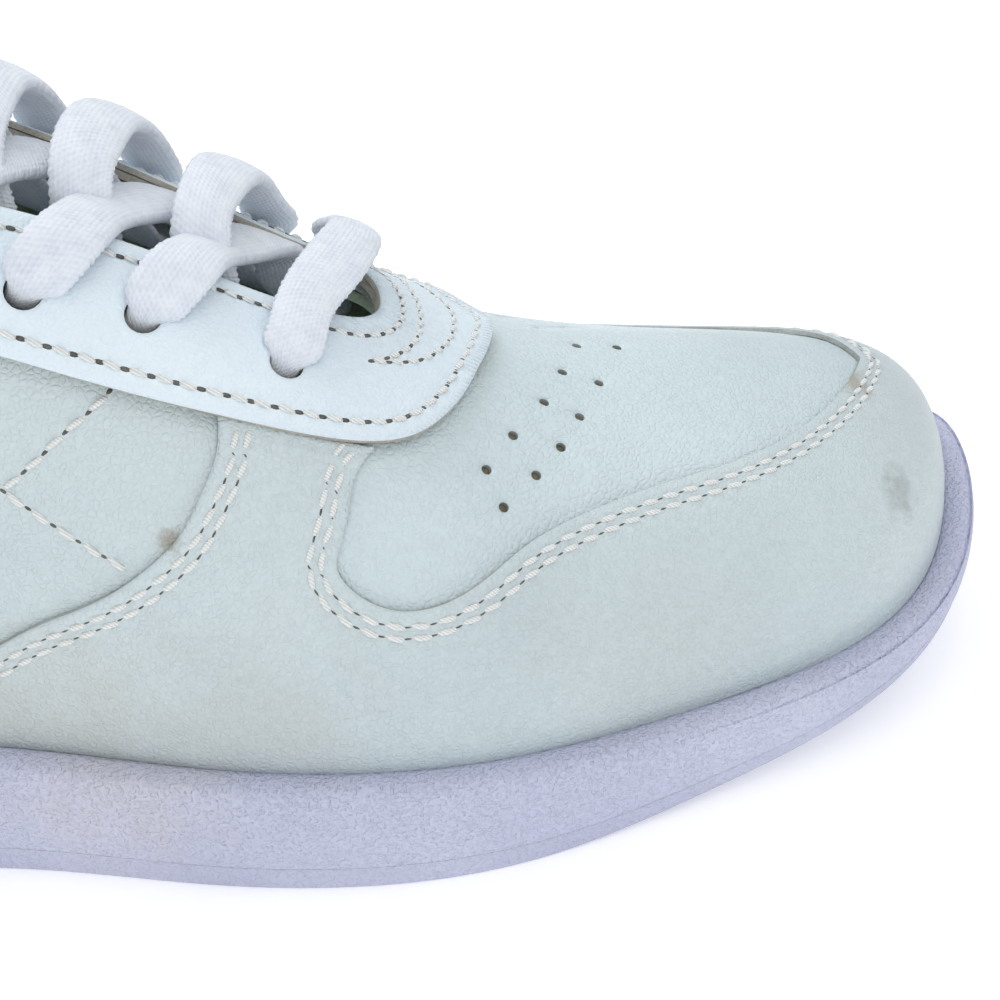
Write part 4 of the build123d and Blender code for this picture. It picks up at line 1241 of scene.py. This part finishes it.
def knot():
    """The bow's knot: one turn of braid round the gathered loops."""
    centre = np.array(KNOT_CENTRE)
    angle = np.linspace(0, 2 * math.pi, 60)
    ring = np.stack([4.3 * np.cos(angle), 0.9 * np.sin(angle + 0.6), 3.6 * np.sin(angle)], 1)
    band = flat_lace("bow_knot", centre + ring, np.array([0.0, 1.0, 0.12]))
    s = np.linspace(-1, 1, 41)
    bundle = np.stack([0.8 * np.sin(3 * s), 6.4 * s, 0.5 * np.cos(4 * s)], 1)
    core = flat_lace("bow_knot_core", centre + bundle, np.array([0.9, 0.0, 0.5]))
    place_piece(band, ["bow_knot"])
    place_piece(core)


def aglet(side, name):
    """Film tube shrunk round the lace's tip, with a lap seam and slightly crimped ends."""
    before, end = tail_route(side)[-2:]
    forward = (end - before) / np.linalg.norm(end - before)
    across = THROAT_DIRECTION - (THROAT_DIRECTION @ forward) * forward
    across /= np.linalg.norm(across)
    other = np.cross(forward, across)
    places = np.array([0, 0.25, 0.6, 1.5, 5, 10, 15, 18, 19.2, 19.7, 20.0])
    sizes = np.array([0.86, 0.95, 0.99, 0.96, 1, 1, 1, 0.97, 0.93, 0.84, 0.6])
    around = 28
    angle = 2 * math.pi * np.arange(around) / around
    lap = 1 + 0.05 * (np.arange(around) < 5)
    points = []
    for s, size in zip(places, sizes):
        ring = (np.cos(angle)[:, None] * across + np.sin(angle)[:, None] * other) * lap[:, None]
        points.append(end + forward * (s + 0.02) + ring * AGLET_RADIUS * size)
    faces = tube_faces(len(places), around)
    piece = make_mesh("aglet_film_" + name, np.vstack(points), faces, [AGLET_FILM], crease=50)
    return place_piece(piece, ["aglet_" + name])


def bow():
    knot()
    for name, side in SIDES:
        path = smooth_route("loop route", bow_loop_route(side))
        piece = flat_lace("bow_loop_braid_" + name, path, LOOSE_DIRECTION)
        place_piece(piece, ["bow_loop_" + name])
        path = smooth_route("tail route", tail_route(side))
        piece = flat_lace("lace_tail_braid_" + name, path, LOOSE_DIRECTION, narrow_at=[path[-1]])
        place_piece(piece, ["lace_tail_" + name])
        tip = aglet(side, name)


# ---------------------------------------------------------------- sole

def rim_loop(inset):
    """Closed outline of the sole, moved inwards, as points in the plan."""
    return sole_outline(inset, 720)[:-1]


def sole_rings(profile, low, high):
    """Rings round the sole: each has an inset, a share of the way from low to high and a lift."""
    rings = []
    for inset, share, lift in profile:
        plan = rim_loop(inset)
        z = low(plan[:, 0]) * (1 - share) + high(plan[:, 0]) * share + lift
        rings.append(np.column_stack([plan, z]))
    return np.array(rings)


def capped_rings(name, rings, materials, crease=50.0):
    """Piece made of rings, one after the other, with a lid on the first and on the last."""
    count, around = rings.shape[:2]
    faces = [f[::-1] for f in tube_faces(count, around)]
    return make_mesh(name, rings.reshape(-1, 3), faces, materials, crease=crease)


def midsole():
    """Foam cup: a bulging wall with a rounded rim that stands proud of the upper."""
    wall = [(1.0, 0.0, 0.02), (0.06, 0.0, 0.02), (0.04, 0.02, 0.04), (-0.15, 0.10, 0.1),
            (-0.45, 0.25, 0), (-0.55, 0.45, 0), (-0.5, 0.65, 0), (-0.32, 0.80, 0),
            (-0.1, 0.90, 0), (0.1, 1.0, -1.0), (0.45, 1.0, -0.42), (1.0, 1.0, -0.08), (1.7, 1.0, 0.04),
            (2.6, 1.0, 0.05), (3.6, 1.0, -0.05), (4.5, 1.0, -0.35), (5.0, 1.0, -0.9),
            (5.3, 1.0, -2.2)]
    top = sole_rings(wall, split_height, rim_height)
    floor = lambda x: rim_height(x) - tuck_depth(x) - 2.0
    plans = {inset: rim_loop(inset) for inset in (3.0, 4.2, 9.0, 18.0)}
    rings = [np.column_stack([plans[inset], split_height(plans[inset][:, 0]) + 0.05])
             for inset in (18.0, 9.0, 3.0)]
    rings += list(top)
    rings += [np.column_stack([plans[inset], floor(plans[inset][:, 0])])
              for inset in (4.2, 9.0, 18.0)]
    piece = capped_rings("midsole_foam", np.array(rings), [SOLE_FOAM])
    place_piece(piece, ["midsole"])


def half_width_lines():
    """The sole's lateral and medial edges as functions of X."""
    outline = sole_outline(0.05, 1600)
    heel, tip = np.argmin(outline[:, 0]), np.argmax(outline[:, 0])
    first, second = (min(heel, tip), max(heel, tip))
    lateral = outline[first:second + 1]
    medial = np.vstack([outline[second:], outline[:first + 1]])
    lines = []
    for half in (lateral, medial):
        half = half[np.argsort(half[:, 0])]
        lines.append(lambda x, h=half: np.interp(x, h[:, 0], h[:, 1]))
    return lines, outline[heel, 0], outline[tip, 0]


GROOVE_DEPTH = 1.2
TREAD_MARGIN = 6.9       # plain rubber between the edge and the grooves' ends


def outsole():
    """Rubber tread with grooves across the ball and the heel, and a plain margin all round."""
    (lateral, medial), back, front = half_width_lines()
    grooves = [*np.arange(22, 112, 7.0), *np.arange(-121, -72, 7.0)]
    ends = (1 - np.cos(np.linspace(0, math.pi, 90))) / 2
    stations = list(back + (front - back) * ends) + list(np.linspace(back, front, 160)[1:-1])
    for g in grooves:
        stations += [g - 1.16, g - 1.04, g - 0.7, g + 0.7, g + 1.04, g + 1.16]
    x = np.unique(np.round(stations, 3))
    x = x[(x >= back) & (x <= front)]
    nearest = np.min(np.abs(x[:, None] - np.array(grooves)[None]), axis=1)
    depth = GROOVE_DEPTH * np.clip((1.14 - nearest) / 0.1, 0, 1)
    margins = [0.0, 0.25, 1.0, 3.0, TREAD_MARGIN, TREAD_MARGIN + 0.2]
    columns = 2 * len(margins) + 12
    low_y, high_y = lateral(x)[:, None], medial(x)[:, None]
    reach = (high_y - low_y) / 2
    squeezed = np.minimum(np.array(margins)[None], reach * np.linspace(0, 0.9, len(margins))[None])
    near = np.where(reach > 8.5, np.array(margins)[None], squeezed)
    middle = np.linspace(0, 1, 14)[None, 1:-1]
    inner_low, inner_high = low_y + near[:, -1:], high_y - near[:, -1:]
    y = np.hstack([low_y + near, inner_low + (inner_high - inner_low) * middle,
                   (high_y - near)[:, ::-1]])
    ground = ground_height(x)
    margin = np.minimum(y - low_y, high_y - y)
    z = ground[:, None] + depth[:, None] * np.clip((margin - TREAD_MARGIN) / 0.2, 0, 1)
    z += 0.35 * np.clip(1 - margin / 0.25, 0, 1) ** 2
    bottom = np.stack([x[:, None] + 0 * y, y, z], -1)
    top = bottom.copy()
    top[..., 2] = (split_height(x) - 0.04)[:, None]
    rows, count = len(x), len(x) * columns
    low_faces = grid_faces(rows, columns)
    top_faces = [tuple(i + count for i in f[::-1]) for f in low_faces]
    walls = []
    for r in range(rows - 1):
        a, b = r * columns, (r + 1) * columns
        walls.append((a, b, b + count, a + count))
        a, b = a + columns - 1, b + columns - 1
        walls.append((b, a, a + count, b + count))
    points = np.vstack([bottom.reshape(-1, 3), top.reshape(-1, 3)])
    faces = [f[::-1] for f in low_faces + top_faces + walls]
    faces.append(tuple(range(columns)) + tuple(range(count + columns - 1, count - 1, -1)))
    a = (rows - 1) * columns
    faces.append(tuple(range(a + columns - 1, a - 1, -1)) + tuple(range(a + count, a + count + columns)))
    piece = make_mesh("outsole_rubber", points, faces, [SOLE_RUBBER], crease=35)
    place_piece(piece, ["outsole"])


# ---------------------------------------------------------------- building the shoe

def carried(node, material):
    """Gives a solid that keeps its own shape its finish."""
    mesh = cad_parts[node].data
    mesh.materials.clear()
    mesh.materials.append(material)


for node, material in (("lasting_board", BOARD), ("insole", INSOLE_KNIT), ("toe_puff", STIFF_SHEET),
                       ("heel_counter", STIFF_SHEET)):
    carried(node, material)

midsole()
outsole()
vamp()
for side_name, side_sign in SIDES:
    quarter(side_name, side_sign)
linings()
mudguard()
heel_patch()
eyestay()
collar()
tongue_piece = tongue()
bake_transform(tongue_piece)
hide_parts("tongue_face", "tongue_foam", "tongue_lining", "tongue_flap_face",
            "tongue_flap_foam", "tongue_flap_lining")
lacing()
bow()

# ---------------------------------------------------------------- floor, light and camera


def floor():
    mesh = bpy.data.meshes.new("floor")
    size = 4.0
    mesh.from_pydata([(-size, -size, 0), (size, -size, 0), (size, size, 0), (-size, size, 0)], [],
                     [(0, 1, 2, 3)])
    mesh.materials.append(speckled("white light table", "#FFFFFF", "#FBFBFC", 3.0, 0.9, 0.01,
                                   {"Emission Color": colour("#FFFFFF"), "Emission Strength": 0.24}))
    piece = bpy.data.objects.new("floor", mesh)
    bpy.context.collection.objects.link(piece)


# Name, place and target in metres, size of the lit face, power in watts and tint.
SOFTBOXES = [
    ("window", (-0.35, 0.55, 0.95), (0.03, 0, 0.03), (0.9, 0.7), 5.6, "#F6FAFF"),
    ("ceiling", (0.25, -0.25, 1.2), (0.03, 0, 0.03), (1.1, 1.1), 4.9, "#FFFDFA"),
    ("room", (0.1, -1.1, 0.45), (0.05, 0, 0.04), (1.2, 0.7), 2.2, "#F6F8FF"),
]
WORLD_COLOUR, WORLD_STRENGTH = "#F4F7FA", 0.56


def softbox(name, position, target, size, power, tint):
    light = bpy.data.lights.new(name, "AREA")
    light.shape = "RECTANGLE"
    light.size, light.size_y = size
    light.energy = power
    light.color = colour(tint)[:3]
    lamp = bpy.data.objects.new(name, light)
    lamp.location = position
    way = Vector(target) - Vector(position)
    lamp.rotation_euler = way.to_track_quat("-Z", "Y").to_euler()
    bpy.context.collection.objects.link(lamp)


CAMERA_TURNS = (-0.21095, 0.60289, 0.01205)   # yaw, downward pitch and roll, in radians
CAMERA_TARGET = (65.0, 1.5, 28.125)
CAMERA_DISTANCE = 236.466
CAMERA_LENS, CAMERA_SENSOR, CAMERA_SHIFT = 53.383, 36, -0.0792


def camera():
    """Camera held close, looking down on the outer side of the toe."""
    yaw, pitch, roll = CAMERA_TURNS
    forward = Vector((-math.sin(yaw) * math.cos(pitch), math.cos(yaw) * math.cos(pitch),
                      -math.sin(pitch)))
    right = Vector((math.cos(yaw), math.sin(yaw), 0))
    up = right.cross(forward)
    right, up = (right * math.cos(roll) + up * math.sin(roll),
                 up * math.cos(roll) - right * math.sin(roll))
    target = Vector(CAMERA_TARGET) * MM
    distance = CAMERA_DISTANCE * MM
    data = bpy.data.cameras.new("camera")
    data.sensor_width = CAMERA_SENSOR
    data.lens = CAMERA_LENS
    data.shift_x = CAMERA_SHIFT
    data.clip_start = 0.01
    lens = bpy.data.objects.new("camera", data)
    columns = Matrix((right, up, -forward)).transposed().to_4x4()
    lens.matrix_world = Matrix.Translation(target - forward * distance) @ columns
    bpy.context.collection.objects.link(lens)
    bpy.context.scene.camera = lens


floor()
for light in SOFTBOXES:
    softbox(*light)
world = bpy.data.worlds.new("pale room")
bpy.context.scene.world = world
world.use_nodes = True
background = world.node_tree.nodes["Background"]
background.inputs["Color"].default_value = colour(WORLD_COLOUR)
background.inputs["Strength"].default_value = WORLD_STRENGTH
bpy.context.scene.view_settings.view_transform = "Standard"
camera()
